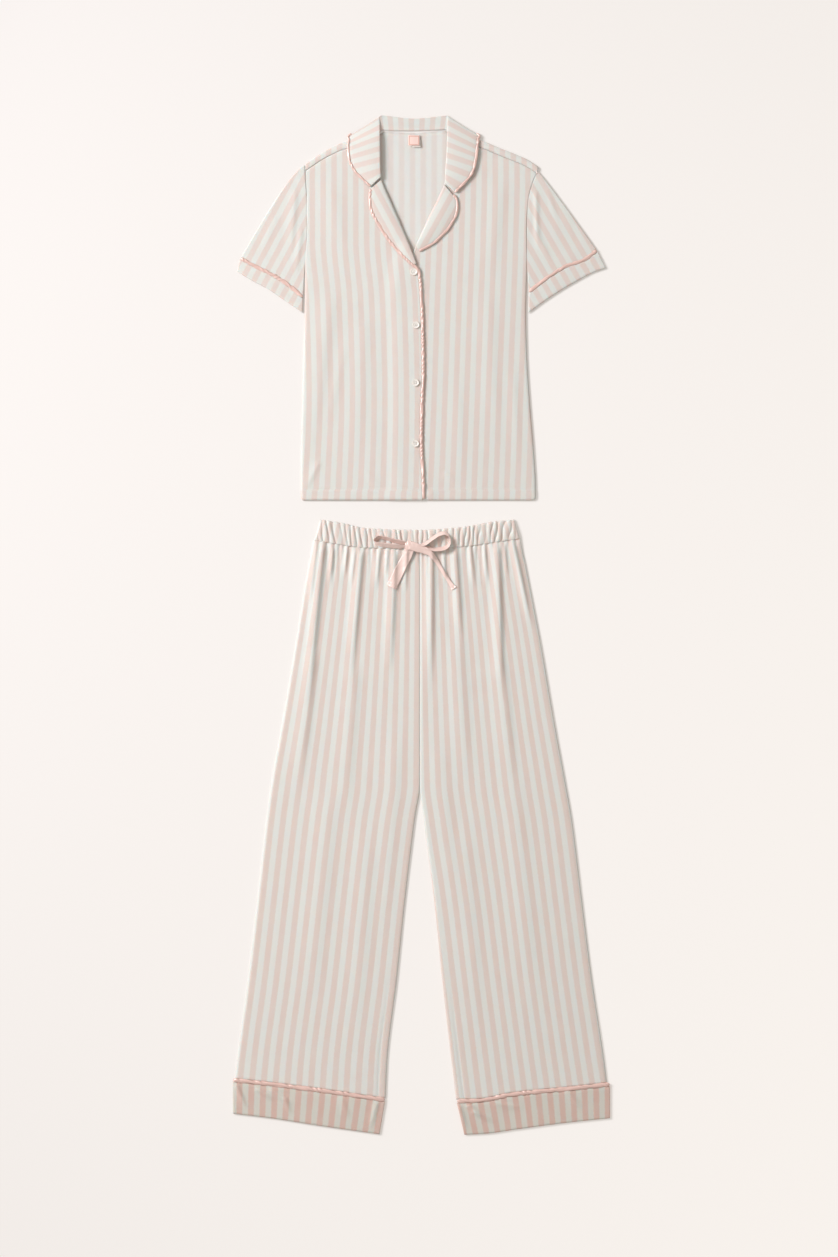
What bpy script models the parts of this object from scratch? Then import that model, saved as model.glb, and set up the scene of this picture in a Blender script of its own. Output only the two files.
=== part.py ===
"""Women's pyjama set of striped jersey, laid flat with its front up: a short-sleeved shirt with a notched
collar above a pair of wide trousers with a gathered waist. Right and left are the wearer's, so right is -X.
X runs across, Y up towards the collar, Z away from the table. Tables are in millimetres."""

import math
from collections import namedtuple

import bmesh
import bpy
from mathutils import Vector

MM = 0.001
WALL = 1.5  # jersey pressed flat
CUFF_WALL = 1.7  # turned-up bands and the elastic's casing
GAP = 0.3  # air between two pieces that are sewn or lie together
STRIP = 10.0  # how far the shirt's back comes over the shoulder
PIPING = 3.2  # satin piping, across
LEG_PIPING = 5.2  # the same piping, pressed flat in the cuff's seam
RIDGES = 19  # of the gathered waistband
FRONT_LOW = WALL + GAP  # underside of a front where it lies on its back piece
FRONT_TOP = FRONT_LOW + WALL

MIDDLE = Vector((-0.2, -1.3, 0.0))  # of the whole layout, put at the origin

PINK = (0.80, 0.55, 0.47)
STRIPED = (0.85, 0.74, 0.68)
PEARL = (0.86, 0.84, 0.80)

# The shirt's sides, from the hem to the top of the armhole.
Side = namedtuple("Side", "y right left")
SHIRT_SIDES = [
    Side(201.5, -194.0, 184.5),
    Side(222, -196.6, 186.4),
    Side(275, -196.6, 183.8),
    Side(360, -194.9, 177.0),
    Side(444, -192.6, 172.0),
    Side(500, -190.7, 170.6),
    Side(591, -189.8, 172.2),
    Side(646, -187.0, 171.6),
    Side(692, -187.0, 174.5),
    Side(718, -188.4, 180.6),
    Side(741, -189.4, 190.0),
    Side(760, -190.0, 194.0),
]

# The fold at the shoulders and the seam at the back of the neck, from side to side.
Level = namedtuple("Level", "x y")
SHOULDERS = [
    Level(-190, 748.5),
    Level(-154, 771.5),
    Level(-120, 786.0),
    Level(-72, 796.0),
    Level(-62, 802.4),
    Level(-12, 800.6),
    Level(40, 803.8),
    Level(52, 797.0),
    Level(94, 787.5),
    Level(129, 773.5),
    Level(170, 756.5),
    Level(194, 741.0),
]
NECK_RIGHT, NECK_LEFT = -72.0, 52.0  # where the shoulders end

# The front edges: down the right one, and down the left one that lies under it.
FrontEdge = namedtuple("FrontEdge", "y right left")
FRONT_EDGES = [
    FrontEdge(201.5, 2.4, -25.0),
    FrontEdge(240, 0.9, -25.0),
    FrontEdge(300, -2.0, -26.0),
    FrontEdge(370, -0.5, -25.5),
    FrontEdge(406, 1.3, -25.0),
    FrontEdge(488, 0.0, -25.5),
    FrontEdge(560, -3.8, -26.0),
    FrontEdge(584, -8.2, -24.0),
    FrontEdge(604, -14.0, -14.5),
    FrontEdge(661, -38.0, 10.4),
    FrontEdge(717, -63.5, 37.0),
    FrontEdge(760, -68.0, 44.0),
    FrontEdge(795, -72.0, 52.0),
]

# Soft folds of the cloth: where each starts and ends, its height, and its width to each side.
Fold = namedtuple("Fold", "x1 y1 x2 y2 height width")
SHIRT_FOLDS = [
    Fold(-150, 520, -182, 260, 1.4, 26),
    Fold(-95, 470, -110, 240, 0.9, 22),
    Fold(110, 520, 122, 250, 1.0, 24),
    Fold(-150, 730, -120, 560, 1.0, 24),
    Fold(130, 720, 105, 540, 1.0, 24),
    Fold(-150, 300, -186, 225, 1.3, 14),
]
TROUSER_FOLDS = [
    Fold(-158, 128, -190, -95, 4.0, 11),
    Fold(-133, 122, -154, -60, 2.6, 9),
    Fold(-112, 120, -140, -210, 3.0, 11),
    Fold(-94, 118, -112, -150, 3.4, 10),
    Fold(-71, 116, -92, -230, 2.4, 11),
    Fold(-45, 115, -55, -150, 3.2, 10),
    Fold(-22, 114, -28, -110, 2.0, 9),
    Fold(22, 114, 17, -120, 3.0, 10),
    Fold(43, 115, 46, -90, 2.2, 9),
    Fold(62, 117, 72, -170, 3.0, 10),
    Fold(85, 120, 103, -100, 2.6, 9),
    Fold(108, 124, 128, -200, 3.2, 11),
    Fold(130, 127, 142, -110, 3.8, 10),
    Fold(149, 130, 176, -130, 3.0, 10),
]

# Each leg's outer side and inner side, from the cuff to the waistband.
Leg = namedtuple("Leg", "y right_out right_in left_in left_out")
LEGS = [
    Leg(-780, -308.0, -58.6, 57.0, 306.5),
    Leg(-711, -301.0, -55.4, 48.6, 298.0),
    Leg(-580, -283.4, -40.0, 33.6, 278.4),
    Leg(-450, -268.0, -26.4, 20.4, 261.8),
    Leg(-320, -253.2, -10.8, 3.6, 245.6),
    Leg(-259, -245.0, -2.7, -2.3, 235.0),
    Leg(-157, -226.6, -2.7, -2.3, 216.2),
    Leg(-26, -204.4, -2.7, -2.3, 193.6),
    Leg(72, -188.6, -2.7, -2.3, 174.8),
    Leg(140, -175.9, -2.7, -2.3, 161.0),
]
# The waistband's two edges, from side to side.
Waist = namedtuple("Waist", "x bottom top")
WAIST = [
    Waist(-175, 136.0, 170.6),
    Waist(-136, 129.4, 164.6),
    Waist(-92, 123.6, 156.2),
    Waist(-3, 121.8, 153.6),
    Waist(71, 125.8, 158.6),
    Waist(126, 133.4, 167.4),
    Waist(161, 138.4, 170.6),
]
# The seam of each trouser cuff and its lower edge, from the outer side to the inner one.
Hem = namedtuple("Hem", "across seam edge")
RIGHT_HEM = [
    Hem(0.0, -743.0, -797.8),
    Hem(0.25, -750.0, -805.0),
    Hem(0.6, -761.0, -818.0),
    Hem(1.0, -775.5, -831.6),
]
LEFT_HEM = [
    Hem(0.0, -750.0, -805.4),
    Hem(0.3, -758.0, -813.0),
    Hem(0.65, -767.0, -824.0),
    Hem(0.85, -776.5, -830.6),
    Hem(1.0, -777.5, -832.4),
]
# Each cuff's outer and inner side, at the seam and at its lower edge.
CuffSides = namedtuple("CuffSides", "out seam_in edge_in")
RIGHT_CUFF = CuffSides(-307.6, -59.4, -68.4)
LEFT_CUFF = CuffSides(307.2, 57.6, 69.6)

# A sleeve's armhole, cuff seam and cuff edge, from the fold on top to the fold under the arm.
Sleeve = namedtuple("Sleeve", "across hole_y seam_x seam_y edge_x edge_y")
RIGHT_SLEEVE = [
    Sleeve(0.0, 748.0, -295.6, 596.4, -300.6, 574.8),
    Sleeve(0.2, 718.0, -270.0, 582.5, -279.5, 561.5),
    Sleeve(0.45, 686.0, -240.5, 568.0, -252.0, 546.8),
    Sleeve(0.75, 640.0, -212.0, 548.8, -220.0, 525.0),
    Sleeve(1.0, 594.0, -193.2, 532.5, -194.2, 507.4),
]
LEFT_SLEEVE = [
    Sleeve(0.0, 738.5, 285.8, 609.4, 300.4, 580.0),
    Sleeve(0.2, 716.0, 264.0, 592.8, 280.0, 573.0),
    Sleeve(0.45, 692.0, 237.5, 584.0, 250.0, 557.0),
    Sleeve(0.75, 643.0, 203.0, 563.0, 212.0, 534.0),
    Sleeve(1.0, 594.0, 174.6, 541.0, 174.2, 507.0),
]
CROWNS = {"right": 8.0, "left": 1.8}  # how far the head of each sleeve swells

# The collar's three lines, from the right front round the neck to the left front: the neck seam, the roll and
# the outer edge. At the roll the cloth turns over: up onto itself in front, and down under itself at the back.
Rib = namedtuple("Rib", "seam_x seam_y seam_z roll_x roll_y roll_z edge_x edge_y edge_z turn")
COLLAR = [
    Rib(-74, 721, 4.6, -66.0, 728, 6.4, -82.0, 713.5, 7.2, 1.5),
    Rib(-77, 742, 4.4, -66.8, 747, 6.5, -106, 737.0, 6.2, 1.8),
    Rib(-79, 763, 4.4, -67.2, 770, 6.6, -116.4, 757, 5.6, 1.8),
    Rib(-79, 781, 4.4, -67.6, 794, 6.4, -118.2, 776, 5.2, 1.6),
    Rib(-74, 791, 4.4, -68.0, 814, 5.0, -117.0, 788, 4.6, 0.9),
    Rib(-64, 804.4, 2.9, -67.6, 827.6, 3.4, -113.0, 798.4, 2.4, 0.0),
    Rib(-54, 804.4, 2.8, -57.0, 828.6, 1.9, -60.0, 808.4, 1.0, -0.9),
    Rib(-14, 804.2, 2.8, -14.0, 824.0, 1.9, -14.0, 806.4, 1.0, -0.9),
    Rib(31, 805.6, 2.8, 33.0, 828.2, 1.9, 35.0, 809.4, 1.0, -0.9),
    Rib(40, 805.6, 2.9, 42.4, 827.6, 3.4, 88.4, 799.2, 2.4, 0.0),
    Rib(53, 793, 4.4, 42.4, 814, 5.2, 90.6, 788, 4.8, 0.9),
    Rib(56, 781, 4.4, 41.6, 795, 6.8, 89.4, 773, 5.6, 1.6),
    Rib(55, 763, 4.4, 40.8, 771, 7.0, 87.0, 755, 6.2, 1.8),
    Rib(51, 742, 4.4, 39.2, 746, 6.8, 79.0, 731, 6.2, 1.8),
    Rib(45.4, 718, 4.6, 37.8, 720, 6.6, 53.0, 703.6, 6.6, 1.5),
]

# Each lapel from its gorge to its lower end: the roll and the outer edge.
Turn = namedtuple("Turn", "roll_x roll_y edge_x edge_y lift")
RIGHT_LAPEL = [
    Turn(-65.4, 724.2, -81.6, 709.6, 0.0),
    Turn(-59.8, 710.0, -82.8, 689.0, 0.5),
    Turn(-51.0, 690.0, -79.0, 670.5, 1.0),
    Turn(-39.5, 664.0, -69.5, 653.5, 1.2),
    Turn(-28.5, 638.0, -54.0, 629.0, 1.0),
    Turn(-18.5, 614.0, -36.0, 607.5, 0.6),
    Turn(-12.0, 597.0, -22.0, 593.5, 0.2),
    Turn(-8.6, 587.0, -13.0, 585.6, 0.0),
]
LEFT_LAPEL = [
    Turn(36.6, 715.8, 51.0, 699.2, 0.0),
    Turn(32.0, 705.0, 57.0, 687.0, 0.8),
    Turn(24.5, 689.0, 55.4, 668.0, 1.6),
    Turn(14.5, 668.5, 41.4, 644.0, 1.8),
    Turn(3.5, 645.0, 21.0, 623.4, 1.4),
    Turn(-4.0, 628.5, 5.0, 613.6, 0.8),
    Turn(-9.0, 617.5, -5.0, 608.8, 0.3),
]

BUTTON_PLACES = [Level(-12.4, 573.6), Level(-9.0, 487.2), Level(-9.8, 393.2), Level(-9.8, 294.1)]

# One side of the bow's loop: its centre line in plan, and how far the ribbon leans over.
Loop = namedtuple("Loop", "x y lean")
RIGHT_LOOP = [
    Loop(-24.0, 131.6, 0.0),
    Loop(-44.0, 135.0, 1.5),
    Loop(-64.0, 140.2, 1.5),
    Loop(-73.0, 137.0, 0.5),
    Loop(-71.0, 131.0, -1.5),
    Loop(-50.0, 127.4, -2.5),
    Loop(-24.0, 126.2, -1.0),
]
LEFT_LOOP = [
    Loop(0.6, 132.0, 0.0),
    Loop(14.0, 140.0, -1.5),
    Loop(31.0, 145.2, -1.5),
    Loop(40.5, 139.5, -0.5),
    Loop(38.0, 128.0, 1.0),
    Loop(20.0, 125.0, 1.5),
    Loop(0.6, 125.8, 0.5),
]
# A tail of the ribbon: its centre line, half its width, and how far it stands off the trousers.
Tail = namedtuple("Tail", "x y half lift")
RIGHT_TAIL = [
    Tail(-20.6, 116.6, 7.2, 4.0),
    Tail(-30.0, 98.0, 7.6, 2.4),
    Tail(-40.5, 78.0, 7.8, 1.2),
    Tail(-49.4, 60.4, 7.8, 0.6),
]
LEFT_TAIL = [
    Tail(3.0, 118.6, 6.2, 4.4),
    Tail(15.0, 111.8, 3.6, 3.6),
    Tail(27.0, 96.0, 2.8, 2.4),
    Tail(40.0, 77.0, 2.8, 1.4),
    Tail(48.6, 64.0, 3.4, 0.8),
    Tail(53.0, 57.6, 4.4, 0.6),
]


def read(table, key, column, at):
    """The value of a column where the key column is at, on a smooth curve that never overshoots the table's rows."""
    rows = sorted(table, key=lambda row: getattr(row, key))
    keys = [getattr(row, key) for row in rows]
    values = [getattr(row, column) for row in rows]
    at = min(max(at, keys[0]), keys[-1])
    i = max(k for k in range(len(keys) - 1) if keys[k] <= at)
    steps = [(values[k + 1] - values[k]) / (keys[k + 1] - keys[k]) for k in range(len(keys) - 1)]

    def slope(k):
        if k == 0 or k == len(keys) - 1:
            return steps[min(k, len(steps) - 1)]
        if steps[k - 1] * steps[k] <= 0:
            return 0.0
        return 2 * steps[k - 1] * steps[k] / (steps[k - 1] + steps[k])

    width = keys[i + 1] - keys[i]
    t = (at - keys[i]) / width
    start, end = values[i], values[i + 1]
    bend_start, bend_end = slope(i) * width, slope(i + 1) * width
    cubic = 2 * start - 2 * end + bend_start + bend_end
    square = 3 * end - 3 * start - 2 * bend_start - bend_end
    return ((cubic * t + square) * t + bend_start) * t + start


def by_row(table, column, t):
    """The value of a column at t from 0, the first row, to 1, the last one, with the rows evenly spaced."""
    values = [getattr(row, column) for row in table]
    place = min(max(t, 0.0), 1.0) * (len(values) - 1)
    i = min(int(place), len(values) - 2)
    before = values[max(i - 1, 0)]
    after = values[min(i + 2, len(values) - 1)]
    start, end = values[i], values[i + 1]
    t = place - i
    bend_start, bend_end = (end - before) / 2, (after - start) / 2
    cubic = 2 * start - 2 * end + bend_start + bend_end
    square = 3 * end - 3 * start - 2 * bend_start - bend_end
    return ((cubic * t + square) * t + bend_start) * t + start


def blend(a, b, t):
    return a + (b - a) * t


def smooth(low, high, value):
    t = min(max((value - low) / (high - low), 0.0), 1.0)
    return t * t * (3 - 2 * t)


def folds_at(folds, x, y):
    """How far the folds lift the cloth at a point: each is a rounded ridge that fades out at its lower end."""
    lift = 0.0
    for fold in folds:
        run_x, run_y = fold.x2 - fold.x1, fold.y2 - fold.y1
        length = math.hypot(run_x, run_y)
        along = ((x - fold.x1) * run_x + (y - fold.y1) * run_y) / length**2
        side = ((x - fold.x1) * run_y - (y - fold.y1) * run_x) / length
        ends = smooth(-0.12, 0.05, along) * (1 - smooth(0.35, 1.0, along))
        lift += fold.height * ends * math.exp(-((side / fold.width) ** 2) * 2)
    return lift


# ---- making meshes ----


def material(name, colour, roughness, metallic=0.0):
    made = bpy.data.materials.new(name)
    made.use_nodes = True
    shader = made.node_tree.nodes["Principled BSDF"]
    shader.inputs["Base Color"].default_value = (*colour, 1.0)
    shader.inputs["Roughness"].default_value = roughness
    shader.inputs["Metallic"].default_value = metallic
    return made


def keep(name, bm, finish):
    """Puts the finished mesh, which is in millimetres, into the set's collection in metres."""
    for vert in bm.verts:
        vert.co = (vert.co - MIDDLE) * MM
    mesh = bpy.data.meshes.new(name)
    bm.to_mesh(mesh)
    bm.free()
    mesh.shade_smooth()
    mesh.set_sharp_from_angle(angle=math.radians(40))
    mesh.materials.append(material(name, *finish))
    obj = bpy.data.objects.new(name, mesh)
    pieces.objects.link(obj)
    return obj


def solidify(obj, wall):
    """Gives a surface its wall, half to each side."""
    thick = obj.modifiers.new("wall", "SOLIDIFY")
    thick.thickness = wall * MM
    thick.offset = 0.0


def grid(across, along, place):
    """A grid of across by along faces that face up, put where place(u, v) says, u and v from 0 to 1."""
    bm = bmesh.new()
    bmesh.ops.create_grid(bm, x_segments=across, y_segments=along, size=0.5)
    for vert in bm.verts:
        vert.co = place(vert.co.x + 0.5, vert.co.y + 0.5)
    if sum(face.normal.z * face.calc_area() for face in refreshed(bm)) < 0:
        bmesh.ops.reverse_faces(bm, faces=bm.faces)
    return bm


def refreshed(bm):
    bm.normal_update()
    return bm.faces


def flat_panel(name, across, along, place, wall, finish):
    """A panel that lies flat: place(u, v) gives its underside, and the wall is built up from there."""
    bm = grid(across, along, place)
    upper = bmesh.ops.extrude_face_region(bm, geom=bm.faces[:], use_keep_orig=True)
    raised = [item for item in upper["geom"] if isinstance(item, bmesh.types.BMVert)]
    bmesh.ops.translate(bm, verts=raised, vec=(0, 0, wall))
    bmesh.ops.recalc_face_normals(bm, faces=bm.faces)
    return keep(name, bm, finish)


def flat_loop(length, low, high, steps):
    """(share across, height) round a tube pressed flat: over the top, round one fold, back below, round the other."""
    radius = (high - low) / 2
    middle = (high + low) / 2
    turns = [math.radians(a) for a in (45, 90, 135)]
    run = length - 2 * radius
    over = [(radius + run * i / steps, high) for i in range(steps + 1)]
    down = [(length - radius + radius * math.sin(a), middle + radius * math.cos(a)) for a in turns]
    under = [(length - radius - run * i / steps, low) for i in range(steps + 1)]
    up = [(radius - radius * math.sin(a), middle - radius * math.cos(a)) for a in turns]
    return [(s / length, z) for s, z in over + down + under + up]


def flat_tube(name, along, steps, plan, low, high, wall, finish, ripple=None, swell=0.0):
    """A tube pressed flat. plan(t, s) is its outline: t along it, s across it. ripple(s) lifts its upper layer,
    and swell lifts the middle of both."""
    bm = bmesh.new()
    rings = []
    for k in range(along + 1):
        t = k / along
        length = (Vector(plan(t, 1.0)) - Vector(plan(t, 0.0))).length
        ring = []
        for s, z in flat_loop(length, low, high, steps):
            lift = ripple(s) if ripple and z == high else swell * math.sin(math.pi * s) * math.sin(math.pi * t) ** 2
            ring.append(bm.verts.new((*plan(t, s), z + lift)))
        rings.append(ring)
    for lower, upper in zip(rings, rings[1:]):
        for i in range(len(lower)):
            j = (i + 1) % len(lower)
            bm.faces.new((lower[i], lower[j], upper[j], upper[i]))
    top = max(bm.faces, key=lambda face: face.calc_center_median().z)
    if refreshed(bm) and top.normal.z < 0:
        bmesh.ops.reverse_faces(bm, faces=bm.faces)
    obj = keep(name, bm, finish)
    solidify(obj, wall)
    return obj


def round_cord(name, points, radius, finish):
    """A round bead through the points, with closed ends."""
    curve = bpy.data.curves.new(name, "CURVE")
    curve.dimensions = "3D"
    curve.bevel_depth = radius * MM
    curve.bevel_resolution = 1
    curve.use_fill_caps = True
    spline = curve.splines.new("POLY")
    spline.points.add(len(points) - 1)
    for knot, point in zip(spline.points, points):
        knot.co = (*((Vector(point) - MIDDLE) * MM), 1.0)
    curve.materials.append(material(name, *finish))
    obj = bpy.data.objects.new(name, curve)
    pieces.objects.link(obj)
    return obj


def beside(points, distance):
    """The points moved sideways in plan: to the left of the way they run, or to the right if distance is below 0."""
    moved = []
    for i, point in enumerate(points):
        before, after = points[max(i - 1, 0)], points[min(i + 1, len(points) - 1)]
        run = Vector((after[0] - before[0], after[1] - before[1])).normalized()
        moved.append((point[0] - run.y * distance, point[1] + run.x * distance, point[2]))
    return moved


# ---- the shirt ----

CLOTH = (STRIPED, 0.7)
SATIN = (PINK, 0.35)


def side(edge, y):
    return read(SHIRT_SIDES, "y", edge, y)


def shirt_plan(u, v, right_edge, left_edge, fall):
    """A point of a shirt panel in plan: u from its right edge to its left one, v from the hem to fall below the
    shoulder."""
    v = 1 - (1 - v) ** 1.6  # rows lie closer together beside the armholes
    y = blend(201.5, 760.0, v)
    for _ in range(4):  # the shoulder's height depends on x, and x on the height
        x = blend(right_edge(y), left_edge(y), u)
        y = blend(201.5, read(SHOULDERS, "x", "y", x) - fall, v)
    return x, y


def make_back():
    """The back, flat on the table, with the strip that comes over each shoulder to the seam in front."""
    fold = (FRONT_LOW + FRONT_TOP - WALL) / 4  # half the way from the back's middle to the front's

    def place(u, v):
        x, y = shirt_plan(u, v, lambda y: side("right", y), lambda y: side("left", y), 0.0)
        return (x, y, WALL / 2)

    bm = grid(24, 14, place)
    shoulder = []
    for edge in bm.edges:
        middle = (edge.verts[0].co + edge.verts[1].co) / 2
        outside = middle.x < NECK_RIGHT - 6 or middle.x > NECK_LEFT + 6
        if edge.is_boundary and outside and middle.y > read(SHOULDERS, "x", "y", middle.x) - 2:
            if abs((edge.verts[0].co - edge.verts[1].co).normalized().x) > 0.5:
                shoulder.append(edge)
    upper = FRONT_LOW + WALL / 2
    steps = ((fold, fold + WALL / 2), (0.0, upper), (-STRIP / 2, upper), (-STRIP, upper))
    base = {}
    for reach, height in steps:
        grown = bmesh.ops.extrude_edge_only(bm, edges=shoulder)
        shoulder = [item for item in grown["geom"] if isinstance(item, bmesh.types.BMEdge)]
        for vert in [item for item in grown["geom"] if isinstance(item, bmesh.types.BMVert)]:
            y = read(SHOULDERS, "x", "y", vert.co.x)
            vert.co.y = y + reach
            vert.co.x = min(max(vert.co.x, side("right", vert.co.y) + GAP), side("left", vert.co.y) - GAP)
            vert.co.z = height
            base[vert] = y
        shoulder = [e for e in shoulder if e.is_boundary and all(v in base for v in e.verts)]
        shoulder = [e for e in shoulder if all(abs(v.co.z - height) < 1e-4 for v in e.verts)]
        shoulder = [e for e in shoulder if all(abs(v.co.y - base[v] - reach) < 1e-3 for v in e.verts)]
    solidify(keep("shirt_back", bm, CLOTH), WALL)


def front_underside(x, y):
    """How high the fronts' undersides lie: on the back, and over the folds."""
    calm = smooth(201, 230, y) * (1 - smooth(700, 745, y))
    return FRONT_LOW + folds_at(SHIRT_FOLDS, x, y) * calm


def right_front_underside(x, y):
    """The right front climbs onto the left one where they overlap."""
    edge = read(FRONT_EDGES, "y", "left", y)
    onto = smooth(edge - 34, edge - 14, x) * (1 - smooth(616, 650, y))
    return front_underside(x, y) + (WALL + GAP) * onto


def make_fronts():
    """Each front ends at the shoulder seam, where the back's strip meets it."""
    fall = STRIP + WALL / 2 + 2.5 * GAP

    def right(u, v):
        x, y = shirt_plan(u, v, lambda y: side("right", y), lambda y: read(FRONT_EDGES, "y", "right", y), fall)
        return (x, y, right_front_underside(x, y))

    def left(u, v):
        x, y = shirt_plan(u, v, lambda y: read(FRONT_EDGES, "y", "left", y), lambda y: side("left", y), fall)
        return (x, y, front_underside(x, y))

    flat_panel("shirt_front_right", 16, 16, right, WALL, CLOTH)
    flat_panel("shirt_front_left", 14, 16, left, WALL, CLOTH)


def make_lapels():
    """The facing turned back on each front, from the gorge to the first button."""
    for name, table, underside in (
        ("lapel_right", RIGHT_LAPEL, right_front_underside),
        ("lapel_left", LEFT_LAPEL, front_underside),
    ):

        def place(u, v):
            x = blend(by_row(table, "roll_x", v), by_row(table, "edge_x", v), u)
            y = blend(by_row(table, "roll_y", v), by_row(table, "edge_y", v), u)
            lift = by_row(table, "lift", v) * math.sin(math.pi * u) + 0.25
            return (x, y, underside(x, y) + WALL + GAP + lift)

        flat_panel(name, 5, 10, place, WALL + 0.5, CLOTH)


def make_collar():
    """The collar, cut in one with its stand: from the neck seam to the roll, over it, and out to the edge."""
    bends = [math.radians(a) for a in (90, 60, 30, 0, -30, -60, -90)]

    def rib(u, v):
        seam, roll, edge = (
            Vector([by_row(COLLAR, f"{line}_{axis}", v) for axis in "xyz"]) for line in ("seam", "roll", "edge")
        )
        turn = by_row(COLLAR, "turn", v)
        radius = max(abs(turn), 0.9)
        to_seam, to_edge = ((end - roll).to_2d().normalized().to_3d() * radius for end in (seam, edge))
        k = round(u * 10)
        if 2 <= k <= 8:
            bend = bends[k - 2]
            side = to_seam if bend > 0 else to_edge
            return roll + side * (1 - math.cos(bend)) + Vector((0, 0, -turn * math.sin(bend)))
        if k < 2:
            return seam.lerp(roll + to_seam - Vector((0, 0, turn)), k / 2)
        return (roll + to_edge + Vector((0, 0, turn))).lerp(edge, (k - 8) / 2)

    solidify(keep("collar", grid(10, 24, rib), CLOTH), WALL)


def make_pipings():
    """Satin piping along the collar's edge to each shoulder, round each lapel, and down the right front."""
    radius = PIPING / 2
    clear = radius + GAP
    last = len(COLLAR) - 1
    for name, start, end, turn in (("collar_piping_right", 0, 5, 1), ("collar_piping_left", last, last - 5, -1)):
        points = []
        for k in range(13):
            v = blend(start, end, k / 12) / last
            points.append([by_row(COLLAR, f"edge_{axis}", v) for axis in "xyz"])
        points = beside(points, (clear + 0.3) * turn)
        round_cord(name, [(x, y, max(z, radius + 0.4)) for x, y, z in points], radius, SATIN)

    def lapel_edge(table, underside, away):
        points = [[by_row(table, f"edge_{axis}", k / 12) for axis in "xy"] + [0.0] for k in range(13)]
        return [(x, y, underside(x, y) + WALL + clear + 0.25) for x, y, _ in beside(points, away)]

    lapel = lapel_edge(RIGHT_LAPEL, right_front_underside, -clear)
    top = lapel[-1][2]
    edge = []
    for y in (577.0, 568.0, 556.0, 540.0, *range(515, 200, -25), 206.0):
        x = read(FRONT_EDGES, "y", "right", y) + clear + GAP
        resting = front_underside(x, y) + WALL + clear
        edge.append((x, y, blend(resting, top, smooth(545, 575, y))))
    round_cord("front_piping_right", lapel + edge, radius, SATIN)
    round_cord("front_piping_left", lapel_edge(LEFT_LAPEL, front_underside, clear), radius, SATIN)


def make_sleeves():
    """Each sleeve, its piping and its cuff: three stretches of one flattened tube."""
    low, high = WALL / 2, FRONT_LOW + WALL / 2
    bead = PIPING / 2
    for hand, table, outward in (("right", RIGHT_SLEEVE, -1), ("left", LEFT_SLEEVE, 1)):

        def line(column, s):
            y = read(table, "across", f"{column}_y", s)
            if column == "hole":
                return Vector((side(hand, y) + outward * 2.5 * GAP, y))
            return Vector((read(table, "across", f"{column}_x", s), y))

        def between(first, start, last, end):
            """A stretch from one line to another, each moved along the sleeve."""

            def plan(t, s):
                run = (line("edge", s) - line("hole", s)).normalized()
                return (line(first, s) + run * start).lerp(line(last, s) + run * end, t)

            return plan

        straight = between("hole", 0, "seam", -bead - 1.5 * GAP)

        def crowned(t, s):
            """The sleeve's head swells over the shoulder, most of all along the fold on top."""
            crown = CROWNS[hand] * math.sin(math.pi * t**0.55) * (1 - s) ** 2
            return straight(t, s) + Vector((0.82 * outward, 0.57)) * crown

        flat_tube(f"sleeve_{hand}", 6, 9, crowned, low, high, WALL, CLOTH, swell=0.5)
        flat_tube(f"sleeve_cuff_{hand}", 2, 8, between("seam", bead + 1.5 * GAP, "edge", 0), low, high, WALL, CLOTH)
        on_seam = between("seam", -bead, "seam", bead)
        flat_tube(f"sleeve_piping_{hand}", 1, 8, on_seam, low + 0.3, high + 0.6, WALL, SATIN)


def make_buttons():
    """Four-hole pearl buttons: a turned disc with a raised rim, and four thread holes cut through it."""
    # radius and height down the turned outline, from the middle of the face to the middle of the back
    profile = [(0, 1.7), (3.4, 1.7), (4.2, 2.2), (5.1, 2.3), (5.75, 1.6), (5.6, 0.6), (4.6, 0.0), (0, 0.0)]
    segments = 20
    for number, spot in enumerate(BUTTON_PLACES, 1):
        base = right_front_underside(spot.x, spot.y) + WALL + GAP
        bm = bmesh.new()
        rings = [
            [bm.verts.new((r, 0, z))]
            if r == 0
            else [
                bm.verts.new((r * math.cos(a), r * math.sin(a), z))
                for a in (2 * math.pi * k / segments for k in range(segments))
            ]
            for r, z in profile
        ]
        for upper, lower in zip(rings, rings[1:]):
            for k in range(segments):
                j = (k + 1) % segments
                corners = [upper[k % len(upper)], lower[k % len(lower)], lower[j % len(lower)], upper[j % len(upper)]]
                bm.faces.new(list(dict.fromkeys(corners)))
        bmesh.ops.recalc_face_normals(bm, faces=bm.faces)
        bmesh.ops.translate(bm, verts=bm.verts, vec=(spot.x, spot.y, base))
        button = keep(f"button_{number}", bm, (PEARL, 0.25))
        for k in range(4):
            angle = math.radians(45 + 90 * k)
            hole = Vector((spot.x + 1.7 * math.cos(angle), spot.y + 1.7 * math.sin(angle), base)) - MIDDLE
            bpy.ops.mesh.primitive_cylinder_add(vertices=8, radius=0.75 * MM, depth=8 * MM, location=hole * MM)
            cutter = bpy.context.object
            cutter.name = f"thread_hole_{number}_{k}"
            cutter.hide_render = True
            cutter.display_type = "WIRE"
            for holder in cutter.users_collection:
                holder.objects.unlink(cutter)
            cutters.objects.link(cutter)
            cut = button.modifiers.new(f"hole {k}", "BOOLEAN")
            cut.operation = "DIFFERENCE"
            cut.object = cutter


def make_labels():
    """A woven label below the neck seam, with the size tab under its lower edge."""

    def patch(x, y, width, height, z):
        return lambda u, v: (x + width * (u - 0.5), y + height * (v - 0.5), z)

    flat_panel("size_tab", 2, 2, patch(-8.0, 783.0, 13.6, 12.0, WALL + GAP), 1.0, (PEARL, 0.6))
    flat_panel("neck_label", 3, 3, patch(-12.4, 788.0, 18.4, 17.0, WALL + 2 * GAP + 1.0), 1.0, SATIN)


# ---- the trousers ----


def seam_height(hem, cuff, x):
    """How far down the cuff's seam lies at x."""
    return read(hem, "across", "seam", (x - cuff.out) / (cuff.seam_in - cuff.out))


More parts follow.
